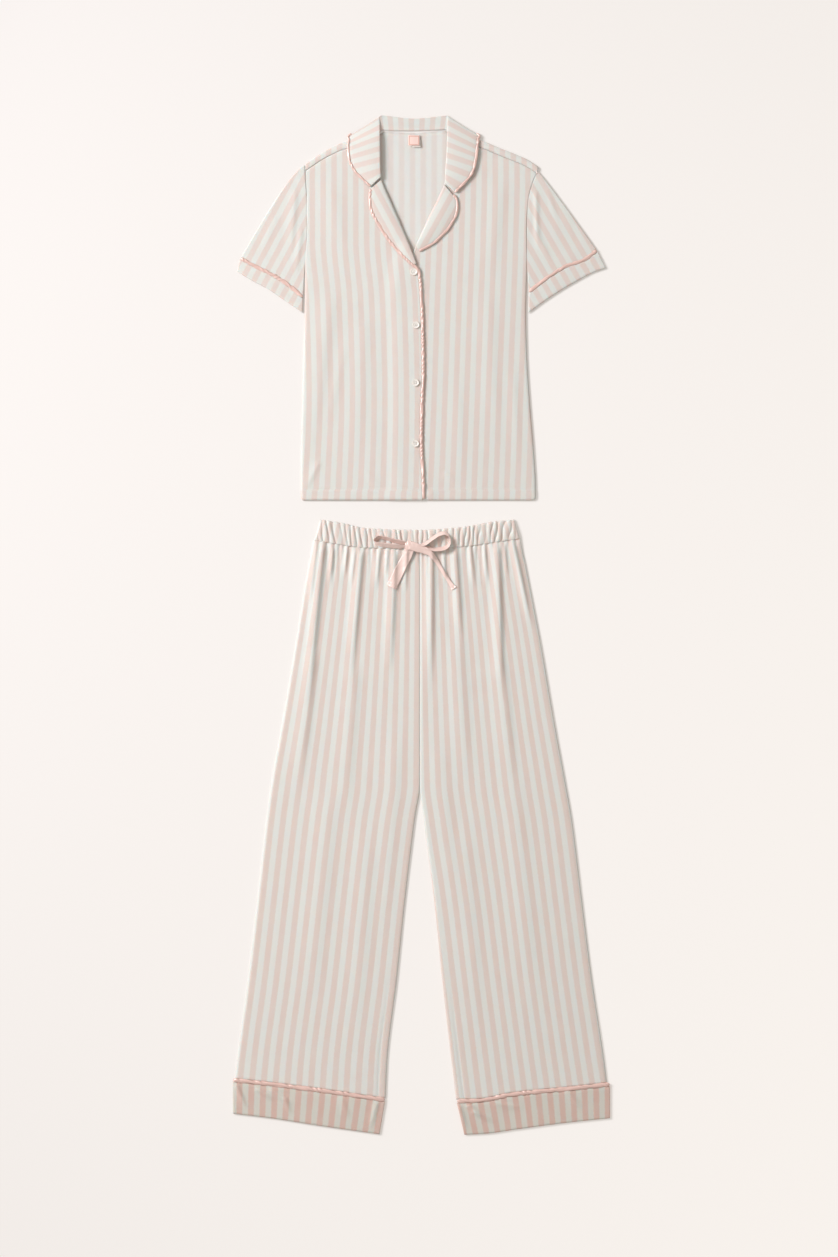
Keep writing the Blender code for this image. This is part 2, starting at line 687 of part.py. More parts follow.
def leg_plan(u, v, outer, inner, hem, cuff):
    """A point of a leg panel in plan: u from its outer side to its inner one, v from the cuff to the waistband."""
    y = blend(-760.0, 130.0, v)
    for _ in range(5):  # both ends slant, so the height depends on x, and x on the height
        x = blend(read(LEGS, "y", outer, y), read(LEGS, "y", inner, y), u)
        low = seam_height(hem, cuff, x) + LEG_PIPING / 2 + 2 * GAP
        y = blend(low, read(WAIST, "x", "bottom", x) - 2 * GAP, v)
    return x, y


def trouser_front_underside(x, y):
    """The fronts lie on the backs, and rise in the folds that run down from the gathered waist."""
    return FRONT_LOW + folds_at(TROUSER_FOLDS, x, y)


def make_legs():
    for hand, hem, cuff in (("right", RIGHT_HEM, RIGHT_CUFF), ("left", LEFT_HEM, LEFT_CUFF)):

        def front(u, v):
            x, y = leg_plan(u, v**0.75, f"{hand}_out", f"{hand}_in", hem, cuff)
            return (x, y, trouser_front_underside(x, y))

        def back(u, v):
            return (*leg_plan(u, v, f"{hand}_out", f"{hand}_in", hem, cuff), 0.0)

        flat_panel(f"trouser_front_{hand}", 26, 10, front, WALL, CLOTH)
        flat_panel(f"trouser_back_{hand}", 10, 10, back, WALL, CLOTH)


def make_trouser_cuffs():
    """Each cuff with the piping in its seam: two stretches of one flattened tube."""
    low, high = WALL / 2, FRONT_LOW + WALL / 2
    half = LEG_PIPING / 2
    for hand, hem, cuff in (("right", RIGHT_HEM, RIGHT_CUFF), ("left", LEFT_HEM, LEFT_CUFF)):

        def band(t, s):
            inner = blend(cuff.seam_in, cuff.edge_in, t)
            top = read(hem, "across", "seam", s) - half - 1.5 * GAP
            return (blend(cuff.out, inner, s), blend(top, read(hem, "across", "edge", s), t))

        def bead(t, s):
            return (blend(cuff.out, cuff.seam_in, s), read(hem, "across", "seam", s) + blend(half, -half, t))

        flat_tube(f"trouser_cuff_{hand}", 2, 14, band, low, high, WALL, CLOTH)
        flat_tube(f"leg_piping_{hand}", 1, 14, bead, low + 0.3, high + 0.6, WALL, SATIN)


def make_waistband():
    """The elastic's casing, pressed flat: gathered into ridges on its upper layer."""
    right, left = WAIST[0].x, WAIST[-1].x

    def plan(t, s):
        x = blend(right, left, s)
        bottom, top = read(WAIST, "x", "bottom", x), read(WAIST, "x", "top", x)
        lean = blend(0.0, 10.0, t) * (1 - 2 * s)
        return (x + lean, blend(bottom, top, t))

    def ripple(s):
        return 0.7 + 0.7 * math.cos(2 * math.pi * RIDGES * s)

    low = CUFF_WALL / 2
    flat_tube("waistband", 2, 2 * RIDGES, plan, low, low + CUFF_WALL + GAP + 0.4, CUFF_WALL, CLOTH, ripple)


def waistband_top():
    return 2 * CUFF_WALL + GAP + 0.4 + 1.4


def ribbon_loop(name, table, base, height):
    """A loop of ribbon that stands on its edge and leans over: an open band with a wall."""
    steps = 18

    def place(u, v):
        x, y = by_row(table, "x", v), by_row(table, "y", v)
        lean = by_row(table, "lean", v)
        return (x, y + lean * (u - 0.5) * 2, base + height * u)

    obj = keep(name, grid(2, steps, place), SATIN)
    solidify(obj, 1.0)


def make_bow():
    """The satin ribbon's bow: two loops, the knot over their ends, and two tails over the trousers."""
    base = waistband_top() + GAP
    ribbon_loop("bow_loop_right", RIGHT_LOOP, base, 8.0)
    ribbon_loop("bow_loop_left", LEFT_LOOP, base, 8.0)

    bm = bmesh.new()
    bmesh.ops.create_uvsphere(bm, u_segments=16, v_segments=8, radius=1.0)
    for vert in bm.verts:
        vert.co = Vector((vert.co.x * 10.6, vert.co.y * 8.6, vert.co.z * 4.6)) + Vector((-11.6, 128.0, base + 4.6))
    keep("bow_knot", bm, SATIN)

    for name, table in (("bow_tail_right", RIGHT_TAIL), ("bow_tail_left", LEFT_TAIL)):

        def place(u, v):
            spine = [Vector((by_row(table, "x", t), by_row(table, "y", t))) for t in (v - 0.02, v, v + 0.02)]
            run = (spine[2] - spine[0]).normalized()
            point = spine[1] + Vector((-run.y, run.x)) * by_row(table, "half", v) * (1 - 2 * u)
            z = trouser_front_underside(point.x, min(point.y, 120.0)) + WALL + GAP + by_row(table, "lift", v)
            return (point.x, point.y, z)

        flat_panel(name, 3, 10, place, 1.0, SATIN)


for leftover in list(bpy.data.objects):
    bpy.data.objects.remove(leftover)
pieces = bpy.data.collections.new("pyjama_set")
cutters = bpy.data.collections.new("cutters")
cutters.hide_render = True
bpy.context.scene.collection.children.link(pieces)
bpy.context.scene.collection.children.link(cutters)

make_back()
make_fronts()
make_lapels()
make_collar()
make_pipings()
make_sleeves()
make_buttons()
make_labels()
make_legs()
make_trouser_cuffs()
make_waistband()
make_bow()
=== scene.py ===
"""A women's pyjama set of striped viscose jersey, laid flat with its front up: a short-sleeved shirt with a
notched collar, piped in satin, above a pair of wide trousers with a gathered waist and a satin bow. Right and
left are the wearer's. The tables lay the cloth out in millimetres: X across, Y up towards the collar."""

import math
from collections import namedtuple

import bpy
import numpy as np
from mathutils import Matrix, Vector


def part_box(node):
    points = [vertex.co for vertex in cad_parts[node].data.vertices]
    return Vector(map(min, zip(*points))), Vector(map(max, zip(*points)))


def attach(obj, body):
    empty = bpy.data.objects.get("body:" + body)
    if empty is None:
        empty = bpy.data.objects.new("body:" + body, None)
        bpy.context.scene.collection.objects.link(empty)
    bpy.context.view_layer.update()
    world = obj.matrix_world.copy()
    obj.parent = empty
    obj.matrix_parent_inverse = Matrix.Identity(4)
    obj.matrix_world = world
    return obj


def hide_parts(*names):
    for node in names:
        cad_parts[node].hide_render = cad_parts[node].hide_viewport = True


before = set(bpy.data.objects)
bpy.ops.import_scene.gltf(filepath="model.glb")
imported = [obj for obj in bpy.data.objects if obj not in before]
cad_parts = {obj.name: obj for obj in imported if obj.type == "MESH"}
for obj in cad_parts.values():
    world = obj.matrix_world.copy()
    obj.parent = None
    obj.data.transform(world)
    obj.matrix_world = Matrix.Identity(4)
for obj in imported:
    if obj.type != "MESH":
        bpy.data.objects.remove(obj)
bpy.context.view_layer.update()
bpy.ops.object.select_all(action="DESELECT")

# ---- the shirt's back ----
# One piece of striped jersey, its wrong side showing inside the neck. It is cut 10 mm longer at the
# shoulders, and comes over the fold there to a seam on the front.

MM = 0.001
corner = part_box("shirt_back")[0]
# Where the tables' zero lies in the frame.
ZERO = np.array([corner.x / MM + 196.6, corner.y / MM - 201.5, 0.0])

REPEAT = 17.7  # one pink and one white stripe
SHOULDER_STRIP = 10.0
HEM_EDGE = 201.5  # the shirt's lower edge
# Heights of the upper faces of the shirt's back, and of both garments' fronts.
BACK_LIE, FRONT_LIE = 1.15, 3.3


def table(text):
    """Rows of numbers under a line of column names."""
    names, *rows = text.splitlines()
    Row = namedtuple("Row", names)
    return [Row(*map(float, row.split())) for row in rows]


def colour(code):
    """An sRGB hex value as the linear colour that a shader takes."""
    parts = [int(code[i : i + 2], 16) / 255 for i in (1, 3, 5)]
    return (*(p / 12.92 if p <= 0.04045 else ((p + 0.055) / 1.055) ** 2.4 for p in parts), 1.0)


def add(tree, kind, inputs=None, **settings):
    """Adds a node of this kind, with its settings, and its inputs set or linked."""
    node = tree.nodes.new(f"ShaderNode{kind}")
    for name, value in settings.items():
        setattr(node, name, value)
    for name, value in (inputs or {}).items():
        if isinstance(value, bpy.types.NodeSocket):
            tree.links.new(value, node.inputs[name])
        else:
            node.inputs[name].default_value = value
    return node


def calc(tree, operation, *values):
    return add(tree, "Math", dict(enumerate(values)), operation=operation).outputs[0]


def noise(tree, place, scale, detail=2.0):
    wanted = {"Vector": place, "Scale": scale, "Detail": detail}
    return add(tree, "TexNoise", wanted, noise_dimensions="2D").outputs["Fac"]


def blend(tree, share, first, second):
    return add(tree, "Mix", {0: share, 6: colour(first), 7: colour(second)}, data_type="RGBA").outputs[2]


def bump(tree, height, strength, distance, **under):
    wanted = {"Height": height, "Strength": strength, "Distance": distance, **under}
    return add(tree, "Bump", wanted).outputs["Normal"]


def principled(name, settings):
    """A new material, its node tree and its shader's inputs, with these settings on them."""
    made = bpy.data.materials.new(name)
    made.use_nodes = True
    inputs = made.node_tree.nodes["Principled BSDF"].inputs
    for socket, value in settings.items():
        inputs[socket].default_value = value
    return made, made.node_tree, inputs


def cut_place(tree):
    """Where a point was in the flat cloth."""
    return add(tree, "UVMap", uv_map="cut").outputs["UV"]


JERSEY = {
    "Roughness": 0.72,
    "IOR": 1.45,
    "Specular IOR Level": 0.35,
    "Sheen Weight": 0.25,
    "Sheen Roughness": 0.5,
    "Subsurface Weight": 0.3,
    "Subsurface Radius": (1.0, 0.6, 0.45),
    "Subsurface Scale": 2.5 * MM,
}


def striped_jersey(name, white, pink, soft):
    """Yarn-dyed single jersey of viscose: a matte, silky knit that drapes closely. Its ribs of loops are 0.7 mm
    apart, too fine to show, so they are drawn 1.4 mm apart along the stripes, with courses across."""
    made, tree, shader = principled(name, JERSEY)
    cut = cut_place(tree)
    place = add(tree, "SeparateXYZ", {"Vector": cut}).outputs
    ragged = calc(tree, "MULTIPLY_ADD", noise(tree, cut, 260.0), 0.0014, place["X"])
    off = calc(tree, "PINGPONG", calc(tree, "MULTIPLY", ragged, 1 / (REPEAT * MM)), 0.5)
    edge = {"Value": off, "From Min": 0.25 + soft, "From Max": 0.25 - soft}
    stripe = add(tree, "MapRange", edge, interpolation_type="SMOOTHSTEP").outputs["Result"]
    slub = {"Value": noise(tree, cut, 34.0, 3.0), "From Min": 0.3, "From Max": 0.7, "To Min": 0.88}
    dyed = calc(tree, "MULTIPLY", stripe, add(tree, "MapRange", slub).outputs["Result"])
    tree.links.new(blend(tree, dyed, white, pink), shader["Base Color"])
    ribs = calc(tree, "SINE", calc(tree, "MULTIPLY", place["X"], 2 * math.pi / (1.4 * MM)))
    courses = calc(tree, "SINE", calc(tree, "MULTIPLY", place["Y"], 2 * math.pi / (1.1 * MM)))
    knit = bump(tree, calc(tree, "MULTIPLY_ADD", courses, 0.5, ribs), 0.10, 0.0002)
    tree.links.new(bump(tree, noise(tree, cut, 42.0), 0.25, 0.0012, Normal=knit), shader["Normal"])
    return made


FACE = striped_jersey("striped_jersey_face", "#D9D9D3", "#D9CAC2", 0.07)
WRONG_SIDE = striped_jersey("striped_jersey_wrong_side", "#D8D9D5", "#D6CFC9", 0.13)


def read(rows, column, at):
    """The column's value where the first column is at, on a smooth curve that never overshoots the rows."""
    rows = sorted(rows, key=lambda row: row[0])
    x = np.array([row[0] for row in rows])
    y = np.array([getattr(row, column) for row in rows])
    at = np.clip(at, x[0], x[-1])
    step = np.diff(y) / np.diff(x)
    same = step[:-1] * step[1:] > 0
    slope = np.concatenate([step[:1], np.zeros(len(x) - 2), step[-1:]])
    slope[1:-1][same] = (2 * step[:-1] * step[1:])[same] / (step[:-1] + step[1:])[same]
    i = np.clip(np.searchsorted(x, at, side="right") - 1, 0, len(x) - 2)
    width = x[i + 1] - x[i]
    t = (at - x[i]) / width
    return (
        (2 * t**3 - 3 * t**2 + 1) * y[i]
        + (t**3 - 2 * t**2 + t) * slope[i] * width
        + (3 * t**2 - 2 * t**3) * y[i + 1]
        + (t**3 - t**2) * slope[i + 1] * width
    )


def share(value):
    return np.clip(value, 0, 1)


def smooth(low, high, value):
    t = share((value - low) / (high - low))
    return t * t * (3 - 2 * t)


def mix(a, b, t):
    return a + (b - a) * t


def cloth(name, across, along, shape, cut, finish, wall=0.9, closed=False):
    """A sheet of cloth with a wall. shape(u, v) is its outer face in millimetres. cut(u, v, x, y) is where a
    point was in the flat cloth, across the grain and along it. A closed one joins at u 0 and 1."""
    bpy.ops.mesh.primitive_grid_add(x_subdivisions=across, y_subdivisions=along, size=1, location=(0, 0, 0))
    piece = bpy.context.object
    piece.name = name
    mesh = piece.data
    flat = np.empty(len(mesh.vertices) * 3)
    mesh.vertices.foreach_get("co", flat)
    u, v = share(flat.reshape(-1, 3)[:, :2].T + 0.5)
    x, y, z = (np.broadcast_to(part, u.shape) for part in shape(u, v))
    mesh.vertices.foreach_set("co", ((np.column_stack([x, y, z]) + ZERO) * MM).ravel())
    corners = np.empty(len(mesh.loops), int)
    mesh.loops.foreach_get("vertex_index", corners)
    while mesh.uv_layers:
        mesh.uv_layers.remove(mesh.uv_layers[0])
    grain = np.column_stack(np.broadcast_arrays(*cut(u, v, x, y))) * MM
    mesh.uv_layers.new(name="cut").data.foreach_set("uv", grain[corners].ravel())
    mesh.update()
    up = sum(face.normal.z * face.area for face in mesh.polygons)
    bpy.ops.object.mode_set(mode="EDIT")
    bpy.ops.mesh.select_all(action="SELECT")
    if closed:
        bpy.ops.mesh.remove_doubles(threshold=0.00001)
        bpy.ops.mesh.normals_make_consistent(inside=False)
    elif up < 0:
        bpy.ops.mesh.flip_normals()
    bpy.ops.object.mode_set(mode="OBJECT")
    if wall:
        thick = piece.modifiers.new("wall", "SOLIDIFY")
        thick.thickness = wall * MM
        thick.offset = -1.0
        bpy.ops.object.modifier_apply(modifier=thick.name)
    bpy.ops.object.shade_smooth()
    mesh.materials.clear()
    mesh.materials.append(finish)
    piece.select_set(False)
    return piece


def stands_for(piece, slot, *nodes):
    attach(piece, "root")
    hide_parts(*nodes)


# The shirt's sides, from the hem to the top of the armhole.
SHIRT_SIDES = table(
    """y right left
201.5 -194 184.5
206 -196.4 186.6
222 -196.9 186.6
275 -196.6 183.8
360 -194.9 177
444 -192.6 172
500 -190.7 170.6
591 -189.8 172.2
646 -187 171.6
692 -187 174.5
718 -188.4 180.6
741 -189.4 190
760 -190 194"""
)
# The fold at the shoulders and the seam at the back of the neck, from side to side.
SHOULDERS = table(
    """x y
-190 748.5
-154 771.5
-120 786
-72 796
-62 802.4
-12 800.6
40 803.8
52 797
94 787.5
129 773.5
170 756.5
194 741"""
)


def side(edge, y):
    return read(SHIRT_SIDES, edge, y)


def shirt_plan(u, v, right_edge, left_edge, fall):
    """A point of a shirt panel: u from its right edge to its left one, v from the hem to the shoulder."""
    y = mix(HEM_EDGE, 760.0, v)
    for _ in range(5):  # the shoulder's height depends on x, and x on the height
        x = mix(right_edge(y), left_edge(y), u)
        y = mix(HEM_EDGE, read(SHOULDERS, "y", x) - fall, v)
    return x, y


def back(u, v):
    x, y = shirt_plan(u, v, lambda y: side("right", y), lambda y: side("left", y), 0.0)
    return x, y, BACK_LIE + 0.2 * np.sin(x / 29) * np.sin(y / 47) ** 2


def straight_grain(shift):
    """Stripes straight up the panel."""
    return lambda u, v, x, y: (x - shift, y)


shirt_back = cloth("back_panel", 72, 84, back, straight_grain(-14.0), WRONG_SIDE)


def shoulder_strip(start, end):
    """The strip over a shoulder: round the fold from below, then down the front to the seam."""

    def shape(u, v):
        x = mix(start, end, u)
        fold = read(SHOULDERS, "y", x)
        turn = np.pi * share(v / 0.35)
        forward = SHOULDER_STRIP * share((v - 0.35) / 0.65)
        y = fold + 1.6 * np.sin(turn) - forward
        x = np.clip(x, side("right", y) + 0.3, side("left", y) - 0.3)
        return x, y, 1.9 - 1.5 * np.cos(turn) + 0.35 * np.sin(np.pi * forward / SHOULDER_STRIP)

    return shape


for start, end in ((-189.6, -79.0), (59.0, 193.6)):
    strip = cloth("strip", 54, 12, shoulder_strip(start, end), straight_grain(-9.0), FACE)
    strip.select_set(True)
    shirt_back.select_set(True)
    bpy.context.view_layer.objects.active = shirt_back
    bpy.ops.object.join()
    shirt_back.select_set(False)
stands_for(shirt_back, "striped_jersey", "shirt_back")

# ---- the shirt's fronts ----
# Two pieces of jersey with their right side up. The right one lies over the left one by 28 mm, as on women's
# shirts. Each is hemmed with 17 mm of cloth turned up inside and two rows of stitches.

FRONT_EDGES = table(
    """y right left
201.5 2.4 -25
240 0.9 -25
300 -2 -26
370 -0.5 -25.5
406 1.3 -25
488 0 -25.5
560 -3.8 -26
584 -8.2 -24
604 -14 -14.5
661 -38 10.4
717 -63.5 37
760 -68 44
795 -72 52"""
)
# Soft folds: where each ridge starts and ends, its height, and its width towards the light and on the lee.
SHIRT_FOLDS = table(
    """x1 y1 x2 y2 height lit lee
-150 520 -184 262 1.5 30 17
-95 480 -112 240 0.9 26 18
-128 440 -156 300 0.7 16 10
110 520 122 250 1 26 16
60 380 66 215 0.6 18 12
150 400 160 230 0.8 16 10
-150 730 -120 560 0.9 26 18
130 720 105 540 1 26 16
-168 262 -190 216 1.2 9 6
-92 250 -60 219 0.5 8 6
38 246 62 232 0.9 8 4
-40 560 -66 470 0.6 20 14"""
)
HEM = 218.5  # where the turned-up hem ends


def folds_at(folds, x, y):
    """How far the folds lift the cloth: each is a rounded ridge, steeper on its lee side, that fades out."""
    lift = np.zeros(np.shape(x))
    for fold in folds:
        run_x, run_y = fold.x2 - fold.x1, fold.y2 - fold.y1
        length = math.hypot(run_x, run_y)
        along = ((x - fold.x1) * run_x + (y - fold.y1) * run_y) / length**2
        off = ((x - fold.x1) * -run_y + (y - fold.y1) * run_x) / length
        off *= -np.sign(run_y)  # above 0 towards the left side, away from the light
        ends = smooth(-0.12, 0.06, along) * (1 - smooth(0.45, 1.0, along))
        reach = np.where(off > 0, fold.lee, fold.lit)
        lift += fold.height * ends * np.exp(-((off / reach) ** 2) * 2)
    return lift


def fronts_top(x, y):
    """The fronts' upper face where they lie on the back: folds, the hem's step and its stitched groove."""
    calm = smooth(201, 226, y) * (1 - smooth(690, 740, y))
    lie = FRONT_LIE + folds_at(SHIRT_FOLDS, x, y) * calm + 0.18 * np.sin(x / 23 + y / 61) * np.sin(y / 38)
    hem = 0.55 * smooth(HEM + 0.8, HEM - 0.8, y)
    groove = 0.3 * np.exp(-(((y - HEM - 1.5) / 1.6) ** 2))
    roll = 1.3 * (1 - share((y - HEM_EDGE) / 2.5)) ** 2
    return lie + hem - groove - roll


def rolled(distance, drop, reach):
    """How far a panel's edge rolls down towards what it is sewn to."""
    return drop * (1 - share(distance / reach)) ** 2


def right_front_top(x, y):
    """The right front climbs onto the left one where they overlap."""
    edge = read(FRONT_EDGES, "left", y)
    onto = smooth(edge - 34, edge - 10, x) * (1 - smooth(616, 650, y))
    flip = 1.1 * np.exp(-(((x + 52) / 9) ** 2) - ((y - 209) / 9) ** 2)
    return fronts_top(x, y) + 1.8 * onto + flip


def left_front_top(x, y):
    flip = 1.2 * np.exp(-(((x - 16) / 7) ** 2) - ((y - 211) / 8) ** 2)
    return fronts_top(x, y) + flip


def shoulder_sink(x, y):
    """At the shoulder seam a front dips under the strip's edge."""
    return 0.4 * np.exp(-(((read(SHOULDERS, "y", x) - SHOULDER_STRIP - 0.4 - y) / 2.5) ** 2))


def side_roll(y):
    """The side seams roll under more than the armholes do."""
    return mix(1.3, 0.15, smooth(560, 600, y))


def right_front(u, v):
    x, y = shirt_plan(u, v, lambda y: side("right", y), lambda y: read(FRONT_EDGES, "right", y), 10.1)
    return x, y, right_front_top(x, y) - rolled(x - side("right", y), side_roll(y), 4) - shoulder_sink(x, y)


def left_front(u, v):
    x, y = shirt_plan(u, v, lambda y: read(FRONT_EDGES, "left", y), lambda y: side("left", y), 10.1)
    return x, y, left_front_top(x, y) - rolled(side("left", y) - x, side_roll(y), 4) - shoulder_sink(x, y)


# How far the stripes of each front lean as they go down: at its side and at the buttons.
RIGHT_LEAN = table(
    """y side middle
201 4 9.5
235 6.5 10.5
365 12.5 12
528 8 8
626 0 0
780 0 0"""
)
LEFT_LEAN = table(
    """y side middle
201 -18 -19
235 -16 -17
365 -12 -11
528 -5.5 -6
626 -2 -2
724 0 0
780 0 0"""
)


def leaning_grain(table, first, hem_shift):
    """Stripes that lean with the way the panel hangs; the hem's own layer is a little off them."""

    def cut(u, v, x, y):
        inner = u if first < 0 else 1 - u
        lean = mix(read(table, "side", y), read(table, "middle", y), inner)
        return x - first - lean + hem_shift * (y < HEM), y

    return cut


front_right = cloth("front_right", 76, 208, right_front, leaning_grain(RIGHT_LEAN, -194.9, 1.6), FACE)
stands_for(front_right, "striped_jersey", "shirt_front_right")
front_left = cloth("front_left", 76, 208, left_front, leaning_grain(LEFT_LEAN, 85.6, -1.4), FACE)
stands_for(front_left, "striped_jersey", "shirt_front_left")

# ---- the lapels ----
# The facing of each front edge, turned back over the front below the collar. Two layers of jersey with
# interlining between them, so they are thicker and smoother than the fronts. The stripes run aslant.

RIGHT_LAPEL = table(
    """roll_x roll_y edge_x edge_y lift
-65.4 724.2 -81.6 709.6 0
-59.8 710 -82.8 689 0.5
-51 690 -79 670.5 1
-39.5 664 -69.5 653.5 1.2
-28.5 638 -54 629 1
-18.5 614 -36 607.5 0.6
-12 597 -22 593.5 0.2
-8.6 587 -13 585.6 0"""
)
LEFT_LAPEL = table(
    """roll_x roll_y edge_x edge_y lift
36.6 715.8 51 699.2 0
32 705 57 687 0.8
24.5 689 55.4 668 1.6
14.5 668.5 41.4 644 1.8
3.5 645 21 623.4 1.4
-4 628.5 5 613.6 0.8
-9 617.5 -5 608.8 0.3"""
)


def curve(values, t):
    """A smooth curve through evenly spaced values, at t from 0 to 1."""
    values = np.array(values, float)
    place = share(t) * (len(values) - 1)
    i = np.minimum(place.astype(int), len(values) - 2)
    before, after = values[np.maximum(i - 1, 0)], values[np.minimum(i + 2, len(values) - 1)]
    start, end = values[i], values[i + 1]
    t = place - i
    bend_start, bend_end = (end - before) / 2, (after - start) / 2
    cubic = 2 * start - 2 * end + bend_start + bend_end
    square = 3 * end - 3 * start - 2 * bend_start - bend_end
    return ((cubic * t + square) * t + bend_start) * t + start


def along_rows(rows, column, t):
    """The column's value at t from 0, the first row, to 1, the last, with the rows evenly spaced."""
    return curve([getattr(row, column) for row in rows], t)


def line_at(rows, line, t, axes="xyz"):
    """A line of the table, such as its edge, at t: its columns are named after the line and the axes."""
    return np.stack([along_rows(rows, f"{line}_{axis}", t) for axis in axes], axis=-1)


def lapel(table, front_top):
    def shape(u, v):
        """u goes from the roll, where the cloth turns over, to the piped edge."""
        turn = np.pi / 2 * share(u / 0.12)
        out = share((u - 0.04) / 0.96)
        x, y = mix(line_at(table, "roll", v, "xy"), line_at(table, "edge", v, "xy"), out[:, None]).T
        crown = (along_rows(table, "lift", v) + 0.3) * np.sin(np.pi * out**0.8)
        return x, y, front_top(x, y) + 0.35 + 2.6 * np.sin(turn) + crown - rolled(1 - u, 0.5, 0.12)

    return shape


def slanted_grain(lean, shift):
    """Stripes at an angle to the shirt's length, in degrees, above 0 for stripes that go down leftwards."""
    cosine, sine = math.cos(math.radians(lean)), math.sin(math.radians(lean))
    return lambda u, v, x, y: (x * cosine + y * sine - shift, y * cosine - x * sine)


LAPEL_WALL = 1.2
for hand, rows, top, along, lean, shift, flat, area in (
    ("right", RIGHT_LAPEL, right_front_top, 60, 28, 3.0, (0.034, 0.16), 0.0036),
    ("left", LEFT_LAPEL, left_front_top, 52, -29, 6.0, (0.034, 0.12), 0.0029),
):
    grain = slanted_grain(lean, shift)
    turned = cloth(f"turned_lapel_{hand}", 26, along, lapel(rows, top), grain, FACE, LAPEL_WALL)
    stands_for(turned, "striped_jersey", f"lapel_{hand}")

# ---- the collar ----
# A notched collar cut in one with its stand, two layers with interlining. From the neck seam it rises to the
# roll and turns over: onto the fronts at both sides, and down behind the stand at the back of the neck.

COLLAR = table(
    """seam_x seam_y seam_z roll_x roll_y roll_z edge_x edge_y edge_z turn
-74 721 4.6 -66 728 7.8 -82 713.5 7.2 1.5
-77 742 4.4 -66.8 747 8.6 -106 737 6.2 1.8
-79 763 4.4 -67.2 770 8.8 -116.4 757 5.6 1.8
-79 781 4.4 -67.6 794 8.4 -118.2 776 5.2 1.6
-74 791 4.4 -68 814 5 -117 788 4.6 0.9
-64 804.4 2.9 -67.6 827.6 3.4 -113 798.4 2.4 0
-54 804.4 2.8 -57 828.6 1.9 -60 808.4 1 -0.9
-14 804.2 2.8 -14 824 1.9 -14 806.4 1 -0.9
31 805.6 2.8 33 828.2 1.9 35 809.4 1 -0.9
40 805.6 2.9 42.4 827.6 3.4 88.4 799.2 2.4 0
53 793 4.4 42.4 814 5.2 90.6 788 6 0.9
56 781 4.4 41.6 795 6.8 89.4 773 7.4 1.6
55 763 4.4 40.8 771 7 87 755 8 1.8
51 742 4.4 39.2 746 6.8 79 731 8 1.8
45.4 718 4.6 37.8 720 6.6 53 703.6 7.6 1.5"""
)


# Shares of the collar's width where its stand ends and its leaf starts. The roll bends between them.
STAND_SHARE, LEAF_SHARE = 0.26, 0.44


def collar_shape(u, v):
    """u goes from the neck seam, up the stand to the roll, round it, and out over the leaf to the edge."""
    seam, roll, edge = (line_at(COLLAR, line, v) for line in ("seam", "roll", "edge"))
    turn = along_rows(COLLAR, "turn", v)
    radius = np.maximum(np.abs(turn), 0.9)[:, None]

    def towards(end):
        run = (end - roll) * [1, 1, 0]
        return run / np.linalg.norm(run, axis=-1, keepdims=True) * radius

    bend = np.pi / 2 - np.pi * share((u - STAND_SHARE) / (LEAF_SHARE - STAND_SHARE))
    near = np.where((bend > 0)[:, None], towards(seam), towards(edge))
    point = roll + near * (1 - np.cos(bend))[:, None]
    point[:, 2] -= turn * np.sin(bend)
    stand = share(u / STAND_SHARE)[:, None]
    leaf = share((u - LEAF_SHARE) / (1 - LEAF_SHARE))[:, None]
    point = np.where((u < STAND_SHARE)[:, None], mix(seam, point, stand), point)
    point = np.where((u > LEAF_SHARE)[:, None], mix(point, edge, leaf), point)
    crown = np.sin(np.pi * leaf[:, 0] ** 0.8) * share(turn) * 0.9
    point[:, 2] += crown - 0.5 * smooth(0.9, 1.0, leaf[:, 0]) * (turn > 0)
    return point.T


def round_the_neck(u, v, x, y):
    """The stripes lie square to the roll, all the way round the neck."""
    steps = np.linspace(0, 1, 600)
    roll = line_at(COLLAR, "roll", steps, "xy")
    run = np.concatenate([[0], np.cumsum(np.linalg.norm(np.diff(roll, axis=0), axis=1))])
    return np.interp(v, steps, run) - 11.0, u * 62.0


collar = cloth("collar_piece", 44, 150, collar_shape, round_the_neck, FACE, 1.3)
stands_for(collar, "striped_jersey", "collar")

# ---- the sleeves and their cuffs ----
# Short set-in sleeves of jersey, pressed flat: folded along the top and seamed under the arm. Each ends in a
# band of its own, sewn on with satin piping in the seam.

RIGHT_SLEEVE = table(
    """across hole_y seam_x seam_y edge_x edge_y
0 748 -295.6 596.4 -300.6 574.8
0.2 718 -270 582.5 -279.5 561.5
0.45 686 -240.5 568 -252 546.8
0.75 640 -212 548.8 -220 525
1 594 -193.2 532.5 -194.2 507.4"""
)
LEFT_SLEEVE = table(
    """across hole_y seam_x seam_y edge_x edge_y
0 738.5 285.8 609.4 300.4 580
0.2 716 264 592.8 280 573
0.45 692 237.5 584 250 557
0.75 643 203 563 212 534
1 594 174.6 541 174.2 507"""
)
CROWNS = {"right": 8.0, "left": 1.8}  # how far the head of each sleeve swells
RIGHT_SLEEVE_FOLDS = table(
    """x1 y1 x2 y2 height lit lee
-206 700 -214 590 1.2 13 7
-238 660 -262 606 0.7 12 8
-196 640 -206 565 1.1 8 6"""
)
LEFT_SLEEVE_FOLDS = table(
    """x1 y1 x2 y2 height lit lee
199 734 226 640 1.2 7 6
186 700 190 600 1.5 6 6
214 716 252 630 0.9 10 6
186 640 214 580 1 9 7"""
)


def pressed(w, roundness):
    """Share across and height, 0 to 1, round a tube pressed flat: over the top, a fold, and back below."""
    turn = 0.09
    half = np.mod(np.minimum(w, 1 - 1e-9), 0.5)
    t = share(half / (0.5 - turn))
    bend = np.pi * share((half - 0.5 + turn) / turn)
    s = roundness + (1 - 2 * roundness) * t + roundness * np.sin(bend)
    height = (1 + np.cos(bend)) / 2
    below = w >= 0.5
    return np.where(below, 1 - s, s), np.where(below, 1 - height, height)


